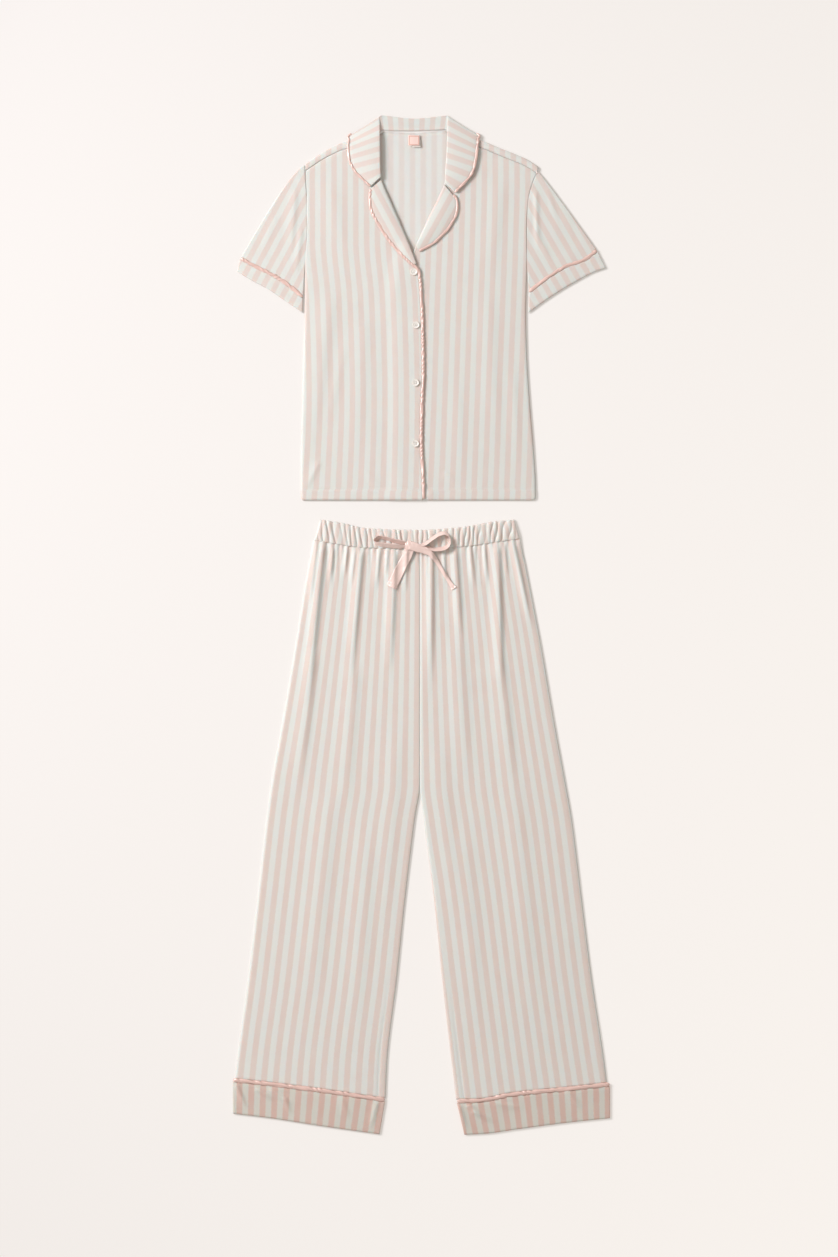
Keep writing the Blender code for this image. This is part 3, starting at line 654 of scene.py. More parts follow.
def sleeve_line(table, hand, outward, column, s):
    y = read(table, f"{column}_y", s)
    if column == "hole":
        return np.stack([side(hand, y) - outward * 0.4, y], axis=-1)
    return np.stack([read(table, f"{column}_x", s), y], axis=-1)


def sleeve_stretch(hand, outward, table, first, start, last, end, swell, low, high, folds, roll):
    """A stretch of the flattened sleeve between two of its lines, each moved along the sleeve by so much."""

    def shape(u, v):
        s, height = pressed(u, 0.016)
        lines = {line: sleeve_line(table, hand, outward, line, s) for line in ("hole", "seam", "edge")}
        run = lines["edge"] - lines["hole"]
        run = run / np.linalg.norm(run, axis=-1, keepdims=True)
        point = mix(lines[first] + run * start, lines[last] + run * end, v[:, None])
        crown = swell * np.sin(np.pi * v**0.55) * (1 - s) ** 2
        x, y = point[:, 0] + 0.82 * outward * crown, point[:, 1] + 0.57 * crown
        top = high + folds_at(folds, x, y) * smooth(0, 0.2, s) + 0.12 * np.sin(x / 9) * np.sin(y / 13)
        sink = roll * (rolled(v, 1.0, 0.06) + rolled(1 - v, 1.0, 0.1))
        return x, y, mix(low, top - sink, height)

    return shape


for hand, outward, rows, folds, lean, phase, cuff_phase in (
    ("right", -1, RIGHT_SLEEVE, RIGHT_SLEEVE_FOLDS, -28, 4.0, 10.0),
    ("left", 1, LEFT_SLEEVE, LEFT_SLEEVE_FOLDS, 30, 0.0, 8.0),
):
    swell = CROWNS[hand]
    shape = sleeve_stretch(hand, outward, rows, "hole", 0, "seam", -1.6, swell, 0.9, FRONT_LIE, folds, 0.15)
    sleeve = cloth(f"arm_{hand}", 104, 66, shape, slanted_grain(lean, phase), FACE, closed=True)
    stands_for(sleeve, "striped_jersey", f"sleeve_{hand}")
    shape = sleeve_stretch(hand, outward, rows, "seam", 1.6, "edge", 0, 0.0, 0.9, 3.5, (), 0.8)
    cuff = cloth(f"arm_cuff_{hand}", 104, 14, shape, slanted_grain(lean, cuff_phase), FACE, closed=True)
    stands_for(cuff, "striped_jersey", f"sleeve_cuff_{hand}")

# ---- the satin piping ----
# A bias strip of pink satin round a thin cord, sewn into the seams: round the collar and the lapels, down the
# right front, and in the seams of the cuffs. It twists as it is sewn, so it catches the light in dashes.


SATIN = {
    "Roughness": 0.33,
    "IOR": 1.6,
    "Specular IOR Level": 1.0,
    "Sheen Weight": 0.2,
    "Sheen Roughness": 0.35,
}


def satin(name, base, threads):
    """Polyester satin: long floats of thread side by side, a smooth face with a bright, soft gloss."""
    made, tree, shader = principled(name, SATIN)
    cut = cut_place(tree)
    stretched = add(tree, "Mapping", {"Vector": cut, "Scale": (threads, 40.0, 1.0)}).outputs["Vector"]
    streaks = add(tree, "TexNoise", {"Vector": stretched, "Scale": 1.0, "Detail": 3.0}).outputs["Fac"]
    shade = add(tree, "ValToRGB", {"Fac": streaks})
    dark, light = shade.color_ramp.elements
    dark.position, light.position = 0.3, 0.75
    dark.color = [part * 0.88 for part in colour(base)[:3]] + [1.0]
    light.color = colour(base)
    tree.links.new(shade.outputs["Color"], shader["Base Color"])
    floats = bump(tree, streaks, 0.25, 0.0002)
    tree.links.new(bump(tree, noise(tree, cut, 130.0), 0.5, 0.0012, Normal=floats), shader["Normal"])
    return made


PIPING_SATIN = satin("pink_satin_piping", "#E4C0B4", 900.0)


def smooth_line(points, step=1.0):
    """Points an even step apart on a smooth curve through these, and the curve's length."""
    points = np.array(points, float)
    t = np.linspace(0, 1, 40 * len(points))
    fine = np.stack([curve(points[:, axis], t) for axis in range(3)], axis=-1)
    run = np.concatenate([[0], np.cumsum(np.linalg.norm(np.diff(fine, axis=0), axis=1))])
    even = np.linspace(0, run[-1], max(int(run[-1] / step), 4) + 1)
    return np.stack([np.interp(even, run, fine[:, axis]) for axis in range(3)], axis=-1), run[-1]


def on_line(line, v):
    steps = np.linspace(0, 1, len(line))
    return np.stack([np.interp(v, steps, line[:, axis]) for axis in range(3)], axis=-1)


def round_cut(around, length):
    """A strip's place in its flat cloth: so far round, and along its length."""
    return lambda u, v, x, y: (u * around, v * length)


def piping(name, points, width, height, twist, node, uneven=0.3):
    """A bead of piping along a line. twist is the length of one turn of the strip, uneven how it varies."""
    line, length = smooth_line(points)
    ahead = np.gradient(line, axis=0)
    ahead /= np.linalg.norm(ahead, axis=1, keepdims=True)
    aside = np.stack([-ahead[:, 1], ahead[:, 0], np.zeros(len(line))], axis=-1)
    aside /= np.linalg.norm(aside, axis=1, keepdims=True)

    def shape(u, v):
        spot, across = on_line(line, v), on_line(aside, v)
        run = v * length
        phase = run / twist + uneven * np.sin(run / 23.0) + 0.5 * uneven * np.sin(run / 7.3)
        angle = 2 * np.pi * u
        ridge = np.abs(np.sin(angle - 2 * np.pi * phase))
        full = 0.62 + 0.40 * ridge + 0.05 * np.sin(run / 3.1)
        ends = share(np.minimum(run, length - run) / width)
        full = full * np.sqrt(share(1 - (1 - ends) ** 2))
        x, y, z = (spot + across * (np.cos(angle) * full * width / 2)[:, None]).T
        return x, y, z + np.sin(angle) * full * height / 2

    cut = round_cut(10, length)
    bead = cloth(name, 18, len(line) - 1, shape, cut, PIPING_SATIN, 0, True)
    stands_for(bead, "pink_satin", node)


def moved_out(line, out):
    """x and y of a line moved sideways in plan."""
    run = np.gradient(line[:, :2], axis=0)
    run /= np.linalg.norm(run, axis=1, keepdims=True)
    return line[:, 0] - run[:, 1] * out, line[:, 1] + run[:, 0] * out


def collar_edge(start, end, out):
    """Along the collar's edge from one rib to another, that far outside it."""
    line = line_at(COLLAR, "edge", np.linspace(start, end, 14) / (len(COLLAR) - 1))
    return np.stack([*moved_out(line, out), np.maximum(line[:, 2] - 0.4, 2.2)], axis=-1)


def lapel_edge(table, top, out):
    x, y = moved_out(line_at(table, "edge", np.linspace(0, 1, 14), "xy"), out)
    return np.stack([x, y, top(x, y) + 2.0], axis=-1)


piping("collar_bead_right", collar_edge(0, 5.0, 1.2), 4.2, 3.2, 26.0, "collar_piping_right")
piping("collar_bead_left", collar_edge(14, 9.0, -1.2), 4.6, 3.2, 40.0, "collar_piping_left")

down = [
    (read(FRONT_EDGES, "right", y) + 1.6, y, fronts_top(np.array(0.0), np.array(y)) + 1.9)
    for y in (560.0, 540.0, *range(515, 200, -20), 203.5)
]
bead_right = np.concatenate([lapel_edge(RIGHT_LAPEL, right_front_top, -1.2), [(-5.6, 577.0, 6.4)], down])
piping("front_bead_right", bead_right, 5.6, 3.6, 22.0, "front_piping_right", 0.5)
piping("front_bead_left", lapel_edge(LEFT_LAPEL, left_front_top, 1.2), 4.8, 3.4, 60.0, "front_piping_left")


def seam_of_sleeve(table, hand, outward):
    line = sleeve_line(table, hand, outward, "seam", np.linspace(0.0, 1.0, 12))
    return np.column_stack([line, np.full(len(line), 3.2)])


for hand, outward, rows, width, twist, uneven in (
    ("right", -1, RIGHT_SLEEVE, 6.4, 84.0, 0.8),
    ("left", 1, LEFT_SLEEVE, 6.0, 90.0, 0.5),
):
    seam = seam_of_sleeve(rows, hand, outward)
    piping(f"arm_bead_{hand}", seam, width, 4.2, twist, f"sleeve_piping_{hand}", uneven)

# ---- the buttons ----
# Four pearly buttons of moulded polyester, 11.5 mm across, with a raised rim and four holes, sewn on with
# white thread. They stay as they are done up.


def pearl(name):
    """Pearl polyester: milky, polished, with a faint play of colour in swirls."""
    gloss = {"Roughness": 0.22, "IOR": 1.56, "Coat Weight": 0.4, "Coat Roughness": 0.1}
    made, tree, shader = principled(name, gloss)
    place = add(tree, "TexCoord").outputs["Object"]
    swirl = add(tree, "TexNoise", {"Vector": place, "Scale": 160.0, "Detail": 3.0, "Distortion": 1.5})
    shade = add(tree, "ValToRGB", {"Fac": swirl.outputs["Fac"]})
    for stop, code in zip(shade.color_ramp.elements, ("#E3DDD2", "#F4F0EA")):
        stop.color = colour(code)
    tree.links.new(shade.outputs["Color"], shader["Base Color"])
    return made


PEARL = pearl("pearl_polyester")
THREAD = satin("white_sewing_thread", "#EDEAE2", 2000.0)
# Sizes of a button and its threads, in metres.
BUTTON_RADIUS, BUTTON_DEPTH = 0.00575, 0.0021
HOLE_RADIUS, HOLE_OFFSET = 0.0007, 0.00125
THREAD_RADIUS, THREAD_LENGTH = 0.00035, 0.0026
EDGE_ROUND = 0.0003


def active_modifier(piece, kind, **settings):
    """Adds a modifier to the piece, sets it and applies it."""
    bpy.context.view_layer.objects.active = piece
    made = piece.modifiers.new(kind.lower(), kind)
    for name, value in settings.items():
        setattr(made, name, value)
    bpy.ops.object.modifier_apply(modifier=made.name)


for number in range(1, 5):
    low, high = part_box(f"button_{number}")
    middle = (low + high) / 2
    size = {"radius": BUTTON_RADIUS, "depth": BUTTON_DEPTH}
    bpy.ops.mesh.primitive_cylinder_add(vertices=40, location=middle, **size)
    button = bpy.context.object
    button.name = f"pearl_button_{number}"
    bpy.ops.object.transform_apply(location=True)
    bpy.ops.object.mode_set(mode="EDIT")
    bpy.ops.mesh.select_mode(type="FACE")
    bpy.ops.mesh.select_all(action="DESELECT")
    bpy.ops.object.mode_set(mode="OBJECT")
    for face in button.data.polygons:
        face.select = face.normal.z > 0.9
    bpy.ops.object.mode_set(mode="EDIT")
    bpy.ops.mesh.inset(thickness=0.0012)
    bpy.ops.mesh.inset(thickness=0.0007)
    bpy.ops.transform.translate(value=(0, 0, -0.0006))
    bpy.ops.mesh.select_all(action="SELECT")
    bpy.ops.object.mode_set(mode="OBJECT")
    rounding = {"width": EDGE_ROUND, "segments": 3, "limit_method": "ANGLE"}
    active_modifier(button, "BEVEL", angle_limit=math.radians(30), **rounding)
    for across, along in ((-1, -1), (1, -1), (-1, 1), (1, 1)):
        spot = (middle.x + across * HOLE_OFFSET, middle.y + along * HOLE_OFFSET, middle.z)
        bpy.ops.mesh.primitive_cylinder_add(vertices=16, radius=HOLE_RADIUS, depth=0.006, location=spot)
        drill = bpy.context.object
        active_modifier(button, "BOOLEAN", operation="DIFFERENCE", object=drill, solver="EXACT")
        bpy.data.objects.remove(drill)
    bpy.context.view_layer.objects.active = button
    button.select_set(True)
    bpy.ops.object.shade_smooth_by_angle(angle=math.radians(35))
    button.data.materials.clear()
    button.data.materials.append(PEARL)
    stands_for(button, "pearl", f"button_{number}")
    threads = []
    for across in (-1, 1):
        spot = (middle.x + across * HOLE_OFFSET, middle.y, middle.z + 0.0006)
        size = {"radius": THREAD_RADIUS, "depth": THREAD_LENGTH}
        bpy.ops.mesh.primitive_cylinder_add(vertices=10, location=spot, rotation=(math.pi / 2, 0, 0), **size)
        thread = bpy.context.object
        bpy.ops.object.transform_apply(location=True, rotation=True)
        active_modifier(thread, "BEVEL", **rounding)
        threads.append(thread)
    for thread in threads:
        thread.select_set(True)
    bpy.ops.object.join()
    sewn = bpy.context.object
    sewn.name = f"button_thread_{number}"
    bpy.ops.object.shade_smooth()
    sewn.data.materials.clear()
    sewn.data.materials.append(THREAD)
    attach(sewn, "root")
    bpy.ops.object.select_all(action="DESELECT")

# ---- the labels in the neck ----
# A square pink label of woven tape with a plain woven border, sewn below the neck seam, and a white size tab
# that hangs out under it. Both are left blank.


def woven_tape(name, base, line):
    """Damask label tape: ribs of weft, 0.8 mm apart, and a border in the second colour inside the edge."""
    made, tree, shader = principled(name, {"Roughness": 0.5})
    place = add(tree, "SeparateXYZ", {"Vector": cut_place(tree)}).outputs
    halves = (("X", 0.0092), ("Y", 0.0085))  # half the label's width and height, in metres
    edges = [calc(tree, "SUBTRACT", half, calc(tree, "ABSOLUTE", place[axis])) for axis, half in halves]
    border = calc(tree, "COMPARE", calc(tree, "MINIMUM", *edges), 0.0017, 0.0005)
    tree.links.new(blend(tree, border, base, line), shader["Base Color"])
    weft = calc(tree, "SINE", calc(tree, "MULTIPLY", place["Y"], 2 * math.pi / 0.0008))
    tree.links.new(bump(tree, weft, 0.4, 0.0001), shader["Normal"])
    return made


def patch(node, droop):
    """A label the size of its solid: its lower edge stands off the cloth a little."""
    low, high = (np.array(corner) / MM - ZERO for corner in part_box(node))

    def shape(u, v):
        x, y = mix(low[0], high[0], u), mix(low[1], high[1], v)
        return x, y, high[2] + droop * (1 - v) ** 2 + 0.15 * np.sin(x / 3)

    return shape, lambda u, v, x, y: (x - (low[0] + high[0]) / 2, y - (low[1] + high[1]) / 2)


LABEL_WALL = 0.4
shape, cut = patch("size_tab", 1.2)
tape = woven_tape("white_damask_tape", "#E8E1DA", "#E8E1DA")
size_tab = cloth("blank_size_tab", 12, 12, shape, cut, tape, LABEL_WALL)
stands_for(size_tab, "white_tape", "size_tab")
shape, cut = patch("neck_label", 1.6)
tape = woven_tape("pink_damask_tape", "#EFD3C9", "#D89F8F")
neck_label = cloth("blank_neck_label", 16, 16, shape, cut, tape, LABEL_WALL)
stands_for(neck_label, "pink_satin", "neck_label")

# ---- the trousers' backs ----
# Two pieces of jersey, one to each leg. They lie on the board under the fronts, and only their edges show.

LEGS = table(
    """y right_out right_in left_in left_out
-780 -308 -58.6 57 306.5
-711 -301 -55.4 48.6 298
-580 -283.4 -40 33.6 278.4
-450 -268 -26.4 20.4 261.8
-320 -253.2 -10.8 3.6 245.6
-259 -245 -2.2 -2.8 235
-157 -226.6 -2.2 -2.8 216.2
-26 -204.4 -2.2 -2.8 193.6
72 -188.6 -2.2 -2.8 174.8
140 -175.9 -2.2 -2.8 161"""
)
# The waistband's two edges, from side to side.
WAIST = table(
    """x bottom top
-175 136 170.6
-136 129.4 164.6
-92 123.6 156.2
-3 121.8 153.6
71 125.8 158.6
126 133.4 167.4
161 138.4 170.6"""
)
# The seam of each cuff and its lower edge, from the outer side to the inner one.
RIGHT_HEM = table(
    """across seam edge
0 -743 -797.8
0.25 -750 -805
0.6 -761 -818
1 -775.5 -831.6"""
)
LEFT_HEM = table(
    """across seam edge
0 -750 -805.4
0.3 -758 -813
0.65 -767 -824
0.85 -776.5 -830.6
1 -777.5 -832.4"""
)
CuffSides = namedtuple("CuffSides", "out seam_in edge_in")
RIGHT_CUFF = CuffSides(-307.6, -59.4, -68.4)
LEFT_CUFF = CuffSides(307.2, 57.6, 69.6)
LEG_BEAD = 5.2  # the piping in the cuffs' seams

LEG_FACE = striped_jersey("striped_jersey_trousers", "#DDDCD6", "#DBCAC1", 0.07)
# The cuffs take the same jersey in darker colours: painted shade, so they look darker than the legs.
CUFF_SHADED_FACE = striped_jersey("striped_jersey_cuff_painted_shade", "#CFCCC2", "#D0B3A7", 0.07)


def leg_plan(u, v, outer, inner, hem, cuff, short):
    """A point of a leg: u from its outer side to its inner one, v from above the cuff to the waistband."""
    y = mix(-760.0, 130.0, v)
    for _ in range(6):  # both ends slant, so the height depends on x, and x on the height
        x = mix(read(LEGS, outer, y), read(LEGS, inner, y), u)
        seam = read(hem, "seam", (x - cuff.out) / (cuff.seam_in - cuff.out))
        y = mix(seam + short, read(WAIST, "bottom", x) + 1.8, v)
    return x, y


# Where the stripes run on each leg: how many repeats from the outer side the outer and the inner edge lie.
RIGHT_RUN = table(
    """y outer inner
-830 0 12.8
140 0 12.8"""
)
LEFT_RUN = table(
    """y outer inner
-830 0.35 13.5
-678 0.05 13.52
-287 0.05 13.14
-100 0 13
140 0 12.9"""
)


def leg_grain(table):
    def cut(u, v, x, y):
        return mix(read(table, "outer", y), read(table, "inner", y), u) * REPEAT - REPEAT / 2, y

    return cut


LEG_SIDES = (
    ("right", RIGHT_HEM, RIGHT_CUFF, RIGHT_RUN),
    ("left", LEFT_HEM, LEFT_CUFF, LEFT_RUN),
)
for hand, hem, cuff, run in LEG_SIDES:

    def leg_back(u, v):
        x, y = leg_plan(u, v, f"{hand}_out", f"{hand}_in", hem, cuff, LEG_BEAD / 2)
        edge = np.minimum(u, 1 - u) * 240
        return x, y, 0.95 + 0.2 * np.sin(x / 31 + y / 57) * share(edge / 30)

    leg = cloth(f"leg_back_{hand}", 34, 112, leg_back, leg_grain(run), LEG_FACE)
    stands_for(leg, "striped_jersey", f"trouser_back_{hand}")

# ---- the trousers' fronts ----
# Two pieces of jersey, wider at the waist than the elastic, so folds run down from the gathers: deep and
# sharp on the side away from the light just below the band, then broad and soft. The legs' edges are seamed.

TROUSER_FOLDS = table(
    """x1 y1 x2 y2 height lit lee
-160 134 -188 -150 5 15 7
-171 132 -184 20 2.4 6 4
-143 130 -150 62 3 6 3.4
-121 128 -126 70 3 6 3.4
-97 126 -118 -120 4.2 14 6.5
-108 124 -116 55 2.4 6 3.6
-69 121 -74 50 3 8 4
-43 119 -53 -100 3.6 14 6.5
-56 119 -59 72 2.4 6 4
-24 118 -27 45 2.4 8 4
17 120 14 -120 4.2 14 7
36 121 39 62 2.6 7 4
55 123 66 -60 4 13 6.5
80 126 86 52 3 7 4
102 129 108 58 3 7 4
124 132 131 -140 5.2 16 7
134 132 141 66 2.6 6 4
149 134 182 -20 4 9 5
-176 -60 -206 -300 2.6 24 10
128 -60 152 -300 2.4 24 12
-110 -80 -128 -330 1.8 26 14
60 -40 74 -280 1.8 26 14
-150 -300 -190 -680 1.4 34 22
-90 -360 -112 -720 1.2 30 20
150 -280 188 -660 1.4 30 22
70 -360 94 -720 1.2 30 20
-40 -200 -70 -560 1 24 18
30 -210 60 -560 1 24 18"""
)


def gathers(x, y):
    """The small pleats that the elastic makes under the band, 9 mm apart and uneven."""
    below = read(WAIST, "bottom", x) - y
    place = x + 2.4 * np.sin(x / 17) + 1.3 * np.sin(x / 7.1)
    deep = 1.7 + 0.8 * np.sin(x / 11.7 + 1)
    spread = np.exp(-np.clip(below - 3, 0, None) / (20 + 12 * np.sin(x / 13.3)))
    return deep * (np.abs(np.cos(np.pi * place / 9.4)) ** 0.7 - 0.6) * spread


def pinch(x, y):
    """At the band's stitches the cloth dips."""
    below = read(WAIST, "bottom", x) - y
    return 0.7 * np.exp(-((below / 2.4) ** 2))


def trouser_top(x, y):
    soft = 0.25 * np.sin(x / 37 + y / 90) * np.sin(y / 71)
    below = read(WAIST, "bottom", x) - y
    folds = folds_at(TROUSER_FOLDS, x, y) * (0.35 + 0.65 * smooth(0, 16, below))
    return FRONT_LIE + folds + gathers(x, y) + soft - pinch(x, y)


def leg_front_shape(hand, hem, cuff):
    def shape(u, v):
        x, y = leg_plan(u, v, f"{hand}_out", f"{hand}_in", hem, cuff, LEG_BEAD / 2 + 0.2)
        width = np.abs(read(LEGS, f"{hand}_in", y) - read(LEGS, f"{hand}_out", y))
        outer, inner = u * width, (1 - u) * width
        above = y - read(hem, "seam", (x - cuff.out) / (cuff.seam_in - cuff.out))
        line = 1.0 * np.exp(-(((inner - 13) / 1.7) ** 2)) * smooth(240, 40, above)
        seam = mix(1.5, 0.7, smooth(-300, -250, y))
        fall = rolled(outer, 1.6, 6) + rolled(inner, seam, 4) + rolled(above - LEG_BEAD / 2, 0.6, 4)
        return x, y, trouser_top(x, y) - fall - line

    return shape


for hand, hem, cuff, run in LEG_SIDES:
    leg = cloth(f"leg_front_{hand}", 118, 400, leg_front_shape(hand, hem, cuff), leg_grain(run), LEG_FACE)
    stands_for(leg, "striped_jersey", f"trouser_front_{hand}")

# ---- the trousers' cuffs ----
# A band of the same jersey round each leg, two layers deep, with piping in its seam. Pressed flat.

# Creases that were left in the cuffs from when they were folded.
CUFF_FOLDS = table(
    """x1 y1 x2 y2 height lit lee
-301 -752 -284 -792 2.7 7 3.5
-268 -756 -236 -778 2.5 6 3
-246 -758 -206 -786 2.4 8 4
-222 -772 -212 -802 1.8 7 4
-130 -772 -118 -808 1.4 9 5
-72 -780 -84 -826 2 7 4
62 -786 75 -828 2.2 7 3.5
76 -784 104 -804 2.7 6 3
84 -794 122 -812 2.4 6 3.5
122 -780 168 -790 1.5 8 5
236 -760 262 -790 1.5 9 5"""
)


def cuff_stretch(hem, cuff, top_drop, high):
    def shape(u, v):
        s, height = pressed(u, 0.008)
        inner = mix(cuff.seam_in, cuff.edge_in, v)
        seam, edge = read(hem, "seam", s), read(hem, "edge", s)
        x, y = mix(cuff.out, inner, s), mix(seam - top_drop, edge, v)
        wave = folds_at(CUFF_FOLDS, x, y) + 0.3 * np.sin(x / 29) * np.sin(np.pi * v)
        sink = 0.9 * rolled(v, 1.0, 0.07) + 0.9 * rolled(1 - v, 1.0, 0.06)
        return x, y, mix(0.9, high + wave - sink, height)

    return shape


def cuff_grain(cuff, phase, total):
    """phase is where the first pink stripe lies from the outer side, and total the repeats across."""

    def cut(u, v, x, y):
        inner = mix(cuff.seam_in, cuff.edge_in, v)
        return ((x - cuff.out) / (inner - cuff.out) * total - phase) * REPEAT, y

    return cut


for hand, hem, cuff, phase, total in (
    ("right", RIGHT_HEM, RIGHT_CUFF, 0.62, 12.85),
    ("left", LEFT_HEM, LEFT_CUFF, 0.25, 13.25),
):
    shape = cuff_stretch(hem, cuff, LEG_BEAD / 2 + 0.3, 3.7)
    grain = cuff_grain(cuff, phase, total)
    band = cloth(f"leg_cuff_{hand}", 220, 26, shape, grain, CUFF_SHADED_FACE, 1.2, closed=True)
    stands_for(band, "striped_jersey", f"trouser_cuff_{hand}")
    across = np.linspace(0, 1, 16)
    line = np.column_stack([mix(cuff.out, cuff.seam_in, across), read(hem, "seam", across)])
    line = np.column_stack([line, np.full(16, 3.1)])
    piping(f"leg_bead_{hand}", line, 7.4, 5.4, 38.0, f"leg_piping_{hand}", 0.35)

# ---- the waistband ----
# A casing of the same jersey round elastic 30 mm wide. The elastic draws the cloth up into upright ridges
# about 9 mm apart, which lean over each other. Their tops make the band's upper edge uneven.


def band_shape(u, v):
    s, height = pressed(u, 0.012)
    x = mix(WAIST[0].x, WAIST[-1].x, s)
    bottom, top = read(WAIST, "bottom", x), read(WAIST, "top", x)
    x = x + 10.0 * v * (1 - 2 * s)
    place = x + 2.1 * np.sin(x / 15 + 0.8) + 1.3 * np.sin(x / 6.3) - 5.0 * (v - 0.5) * np.tanh(x / 60)
    place = place + 0.9 * np.sin(x / 3.7 + 5 * v)
    ridge = 2 * np.abs(np.cos(np.pi * place / 9.2)) ** 0.6 - 1.2
    y = mix(bottom, top + 0.9 * ridge - 0.5, v)
    deep = 1.25 + 0.45 * np.sin(x / 9.1) + 0.35 * np.sin(x / 4.7 + 3 * v)
    swell = 1.3 * np.sin(np.pi * v) ** 0.6
    ends = smooth(0, 0.03, s) * smooth(1, 0.97, s)
    sink = 0.9 * rolled(v, 1.0, 0.07) + 1.5 * rolled(1 - v, 1.0, 0.10)
    high = 4.0 + deep * ridge * ends * (0.45 + 0.55 * np.sin(np.pi * v) ** 0.5) + swell - sink
    return x, y, mix(1.0, high, height)


def band_grain(u, v, x, y):
    s, _ = pressed(u, 0.012)
    place = mix(WAIST[0].x, WAIST[-1].x, s)
    middle = -2.5
    right = (place - WAIST[0].x) / (middle - WAIST[0].x) * 12.8
    left = 12.9 - (WAIST[-1].x - place) / (WAIST[-1].x - middle) * 12.9 + 12.9
    return np.where(place < middle, right, left) * REPEAT - REPEAT / 2, y


waistband = cloth("elastic_band", 900, 30, band_shape, band_grain, LEG_FACE, 1.0, closed=True)
stands_for(waistband, "striped_jersey", "waistband")

# ---- the bow ----
# A ribbon of pink satin, tied in a bow on the front of the band: two loops that stand on their edges, the
# knot, and two tails that hang over the trousers, their ends cut slanting and stitched.

RIBBON = satin("pink_satin_ribbon", "#F2D6CC", 700.0)
RIBBON_WALL = 0.5


def ribbon(name, rows, across, along, node, flat, rise):
    """A strand of the ribbon between its low edge and its high one. rise(u, v, x, y) lifts it."""

    def shape(u, v):
        x, y, z = mix(line_at(rows, "low", v), line_at(rows, "high", v), u[:, None]).T
        return x, y, z + rise(u, v, x, y)

    made = cloth(name, across, along, shape, round_cut(14, flat[1] / MM), RIBBON, RIBBON_WALL)
    stands_for(made, "pink_satin", node)


def loop_rise(u, v, x, y):
    """A soft crease along the loop."""
    return 0.35 * np.sin(np.pi * 2 * u + 3 * np.sin(v * 7)) * np.sin(np.pi * v)


def tail_rise(length, ridge):
    """A tail lies over the trousers' folds. ridge is how far it is folded up along its middle."""

    def rise(u, v, x, y):
        under = FRONT_LIE + folds_at(TROUSER_FOLDS, x, np.minimum(y, 118.0))
        fold = ridge * (1 - np.abs(2 * u - 1)) * smooth(1.0, 0.8, v)
        ripple = 0.2 * np.sin(2 * np.pi * u) * np.sin(5 * v + 0.6)
        from_end = (1 - v) * length
        stitched = sum(0.55 * np.exp(-(((from_end - row) / 0.8) ** 2)) for row in (4.0, 8.0))
        return under + fold + ripple - stitched

    return rise


RIGHT_LOOP = table(
    """low_x low_y low_z high_x high_y high_z
-24 131 6.5 -26 133 12
-30 128.5 6.2 -31 136 14.5
-44 132 6 -46 138.8 15
-58 136.4 6 -60 142.6 15
-67 138 6 -70 143.6 14.6
-75 134 6 -77.5 138 13.8
-73.6 129.4 5.6 -76 134.5 13.4
-64 125.8 5.6 -66 132.5 14
-50 124 5.6 -51 131 14.2
-38 123 5.8 -38.5 129.6 13.6
-24 124 6.5 -25 128 11"""
)
LEFT_LOOP = table(
    """low_x low_y low_z high_x high_y high_z
-8 128 7 -9 131 12
2 131.4 6.4 1 127 14
8 134.6 6 8 128.4 14.8
16 141 6 16.5 134.4 15
28 148.6 6 28.5 142.4 15
38 150.4 6 39 144.4 14.6
45 144.4 6 46.6 138.4 14
44 133 6 45.6 127 13.8
36 126.6 5.8 37 120.2 14
20 125 5.8 21 118.6 13.8
8 127 6.4 8 121.6 13
-8 125 7 -9 125 11"""
)
ribbon("loop_right", RIGHT_LOOP, 8, 90, "bow_loop_right", (0.0125, 0.11), loop_rise)
ribbon("loop_left", LEFT_LOOP, 8, 90, "bow_loop_left", (0.0125, 0.135), loop_rise)

# Heights of the tails are above the trousers.
RIGHT_TAIL = table(
    """low_x low_y low_z high_x high_y high_z
-28 123 5 -12 121 5.6
-31.6 112 3.4 -17 106.6 3.7
-38 100 2.6 -23.6 94 2.9
-44.4 88 2.2 -29.6 81 2.5
-50.6 76 2 -35.6 68.4 2.3
-57 64 2.1 -41.4 55.6 2.4"""
)
LEFT_TAIL = table(
    """low_x low_y low_z high_x high_y high_z
-21 121.5 8.2 -15 134.5 9.6
-7 117 7.8 -5 131 9.4
5 113.8 6 6.6 126 7.6
14.6 108.8 3.4 20.4 114.6 4.4
26 94 2.4 31 97.4 3
37.6 75.4 2 42.6 78.6 2.6
45.6 62.2 1.8 51.4 66 2.4
49 55 1.8 57 60.4 2.4"""
)


ribbon("tail_right", RIGHT_TAIL, 14, 60, "bow_tail_right", (0.0145, 0.068), tail_rise(68.0, 0.0))
ribbon("tail_left", LEFT_TAIL, 14, 80, "bow_tail_left", (0.0145, 0.1), tail_rise(100.0, 1.2))


def knot_shape(u, v):
    """The ribbon drawn tight across the loops: a squarish lump with creases that run up it."""
    around, up = 2 * np.pi * u, np.pi * (v - 0.5)
    crease = 0.13 * np.sin(11 * np.cos(up) * np.cos(around) + 3 * np.sin(up) + 2)
    crease = 0.10 * np.sin(4 * around + 1.0) + crease
    x = 8.4 * np.sign(np.cos(around)) * np.abs(np.cos(around)) ** 0.75 * np.cos(up) * (1 + crease)
    y = 8.0 * np.sin(up)
    z = 3.0 * np.sin(around) * np.cos(up) ** 0.8 * (1 + crease)
    return -19.0 + x - 0.12 * y, 127.8 + y + 0.10 * x, 9.2 + z


knot = cloth("bow_middle", 64, 40, knot_shape, round_cut(40, 22), RIBBON, 0, True)
stands_for(knot, "pink_satin", "bow_knot")

# ---- the stitches ----
# White sewing thread: two rows along the hem of each of the shirt's fronts.


STITCH = 3.2  # from one hole to the next


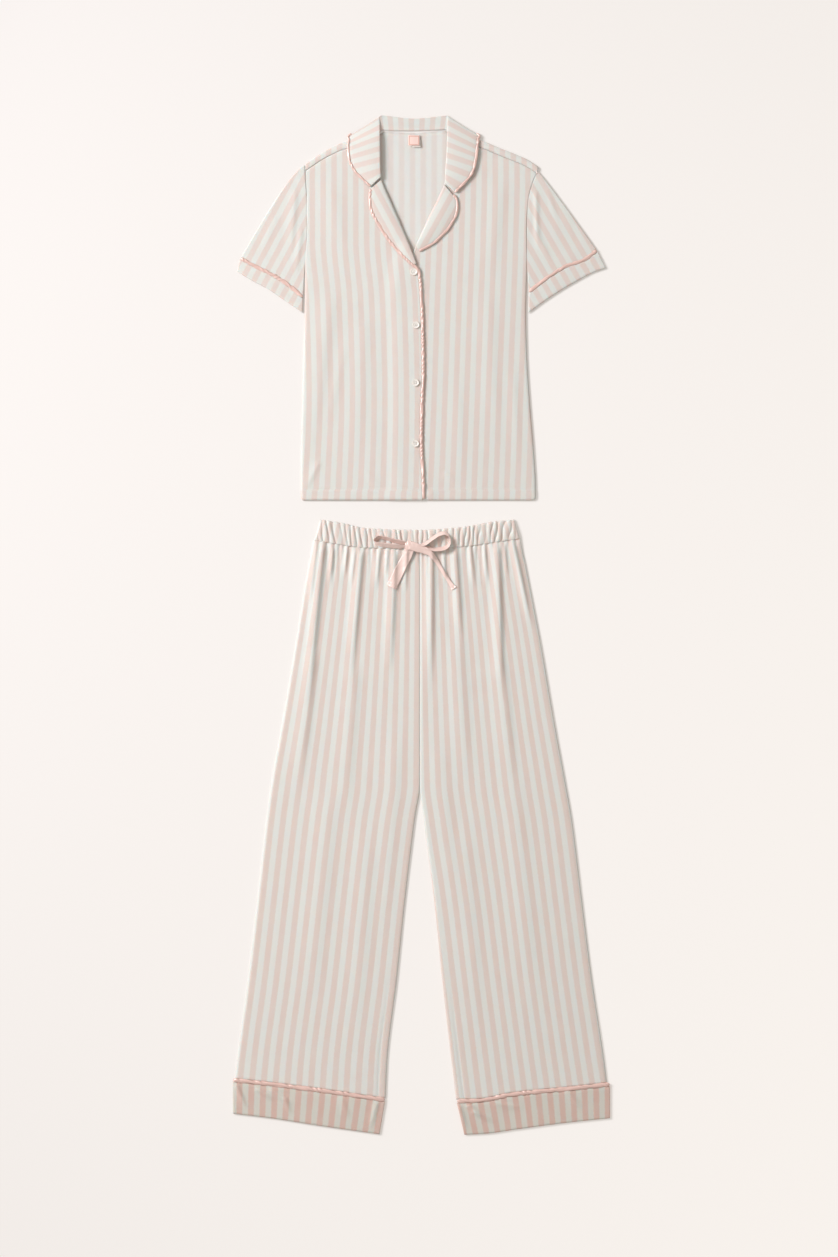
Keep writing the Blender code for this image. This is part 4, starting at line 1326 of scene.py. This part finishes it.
def stitching(name, points):
    """A row of lockstitch: the thread shows between the holes, and dips into each."""
    line, length = smooth_line(points, 0.5)

    def shape(u, v):
        x, y, z = on_line(line, v).T
        dip = np.abs(np.sin(np.pi * v * length / STITCH)) ** 0.6
        angle = 2 * np.pi * u
        return x, y + 0.24 * np.cos(angle), z + 0.2 * np.sin(angle) + 0.45 * dip - 0.45

    row = cloth(name, 6, len(line) - 1, shape, round_cut(1, length), THREAD, 0, True)
    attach(row, "root")


for number, y in enumerate((HEM, HEM + 3.0)):
    for hand, start, end, count, top in (
        ("right", -194.0, -1.0, 90, right_front_top),
        ("left", 5.0, 184.0, 84, left_front_top),
    ):
        x = np.linspace(start, end, count)
        stitching(f"hem_stitches_{hand}_{number}", np.column_stack([x, np.full(count, y), top(x, y) + 0.12]))

# ---- the floor, the light and the camera ----
# The set lies on a cream board. Soft light comes from the upper left, and a lot of it from all round. The
# board also glows, more with distance from the lamp, which evens out how the lamp's light falls off.

matt = {"Roughness": 0.9, "Specular IOR Level": 0.1, "Emission Strength": 1.0}
floor_paint, tree, board = principled("cream_board", {**matt, "Base Color": colour("#D3D0CD")})
spot = add(tree, "SeparateXYZ", {"Vector": add(tree, "TexCoord").outputs["Object"]}).outputs
away = calc(tree, "MULTIPLY_ADD", spot["Y"], -0.45, spot["X"])
reach = add(tree, "MapRange", {"Value": away, "From Min": -1.15, "From Max": 1.15}).outputs["Result"]
glow = blend(tree, calc(tree, "POWER", reach, 0.7), "#000000", "#A9A6A2")
tree.links.new(glow, board["Emission Color"])
bpy.ops.mesh.primitive_plane_add(size=12, location=(0, 0, -0.0004))
floor = bpy.context.object
floor.name = "board"
floor.data.materials.append(floor_paint)

bpy.ops.object.light_add(type="AREA", location=(-3.1, 1.5, 2.5))
lamp = bpy.context.object
lamp.data.shape = "DISK"
lamp.data.size = 1.7
lamp.data.energy = 172
lamp.data.color = (1.0, 0.995, 1.03)
lamp.rotation_euler = (-lamp.location).to_track_quat("-Z", "Y").to_euler()

world = bpy.data.worlds.new("soft_room")
world.use_nodes = True
world.node_tree.nodes["Background"].inputs["Color"].default_value = (1.0, 0.95, 0.905, 1.0)
world.node_tree.nodes["Background"].inputs["Strength"].default_value = 0.53
bpy.context.scene.world = world
bpy.context.scene.view_settings.view_transform = "Standard"

bpy.ops.object.camera_add(location=(-0.0039, -0.0060, 4.84), rotation=(0, 0, 0))
camera = bpy.context.object
camera.data.lens = 85
camera.data.sensor_fit = "VERTICAL"
camera.data.sensor_height = 36
bpy.context.scene.camera = camera
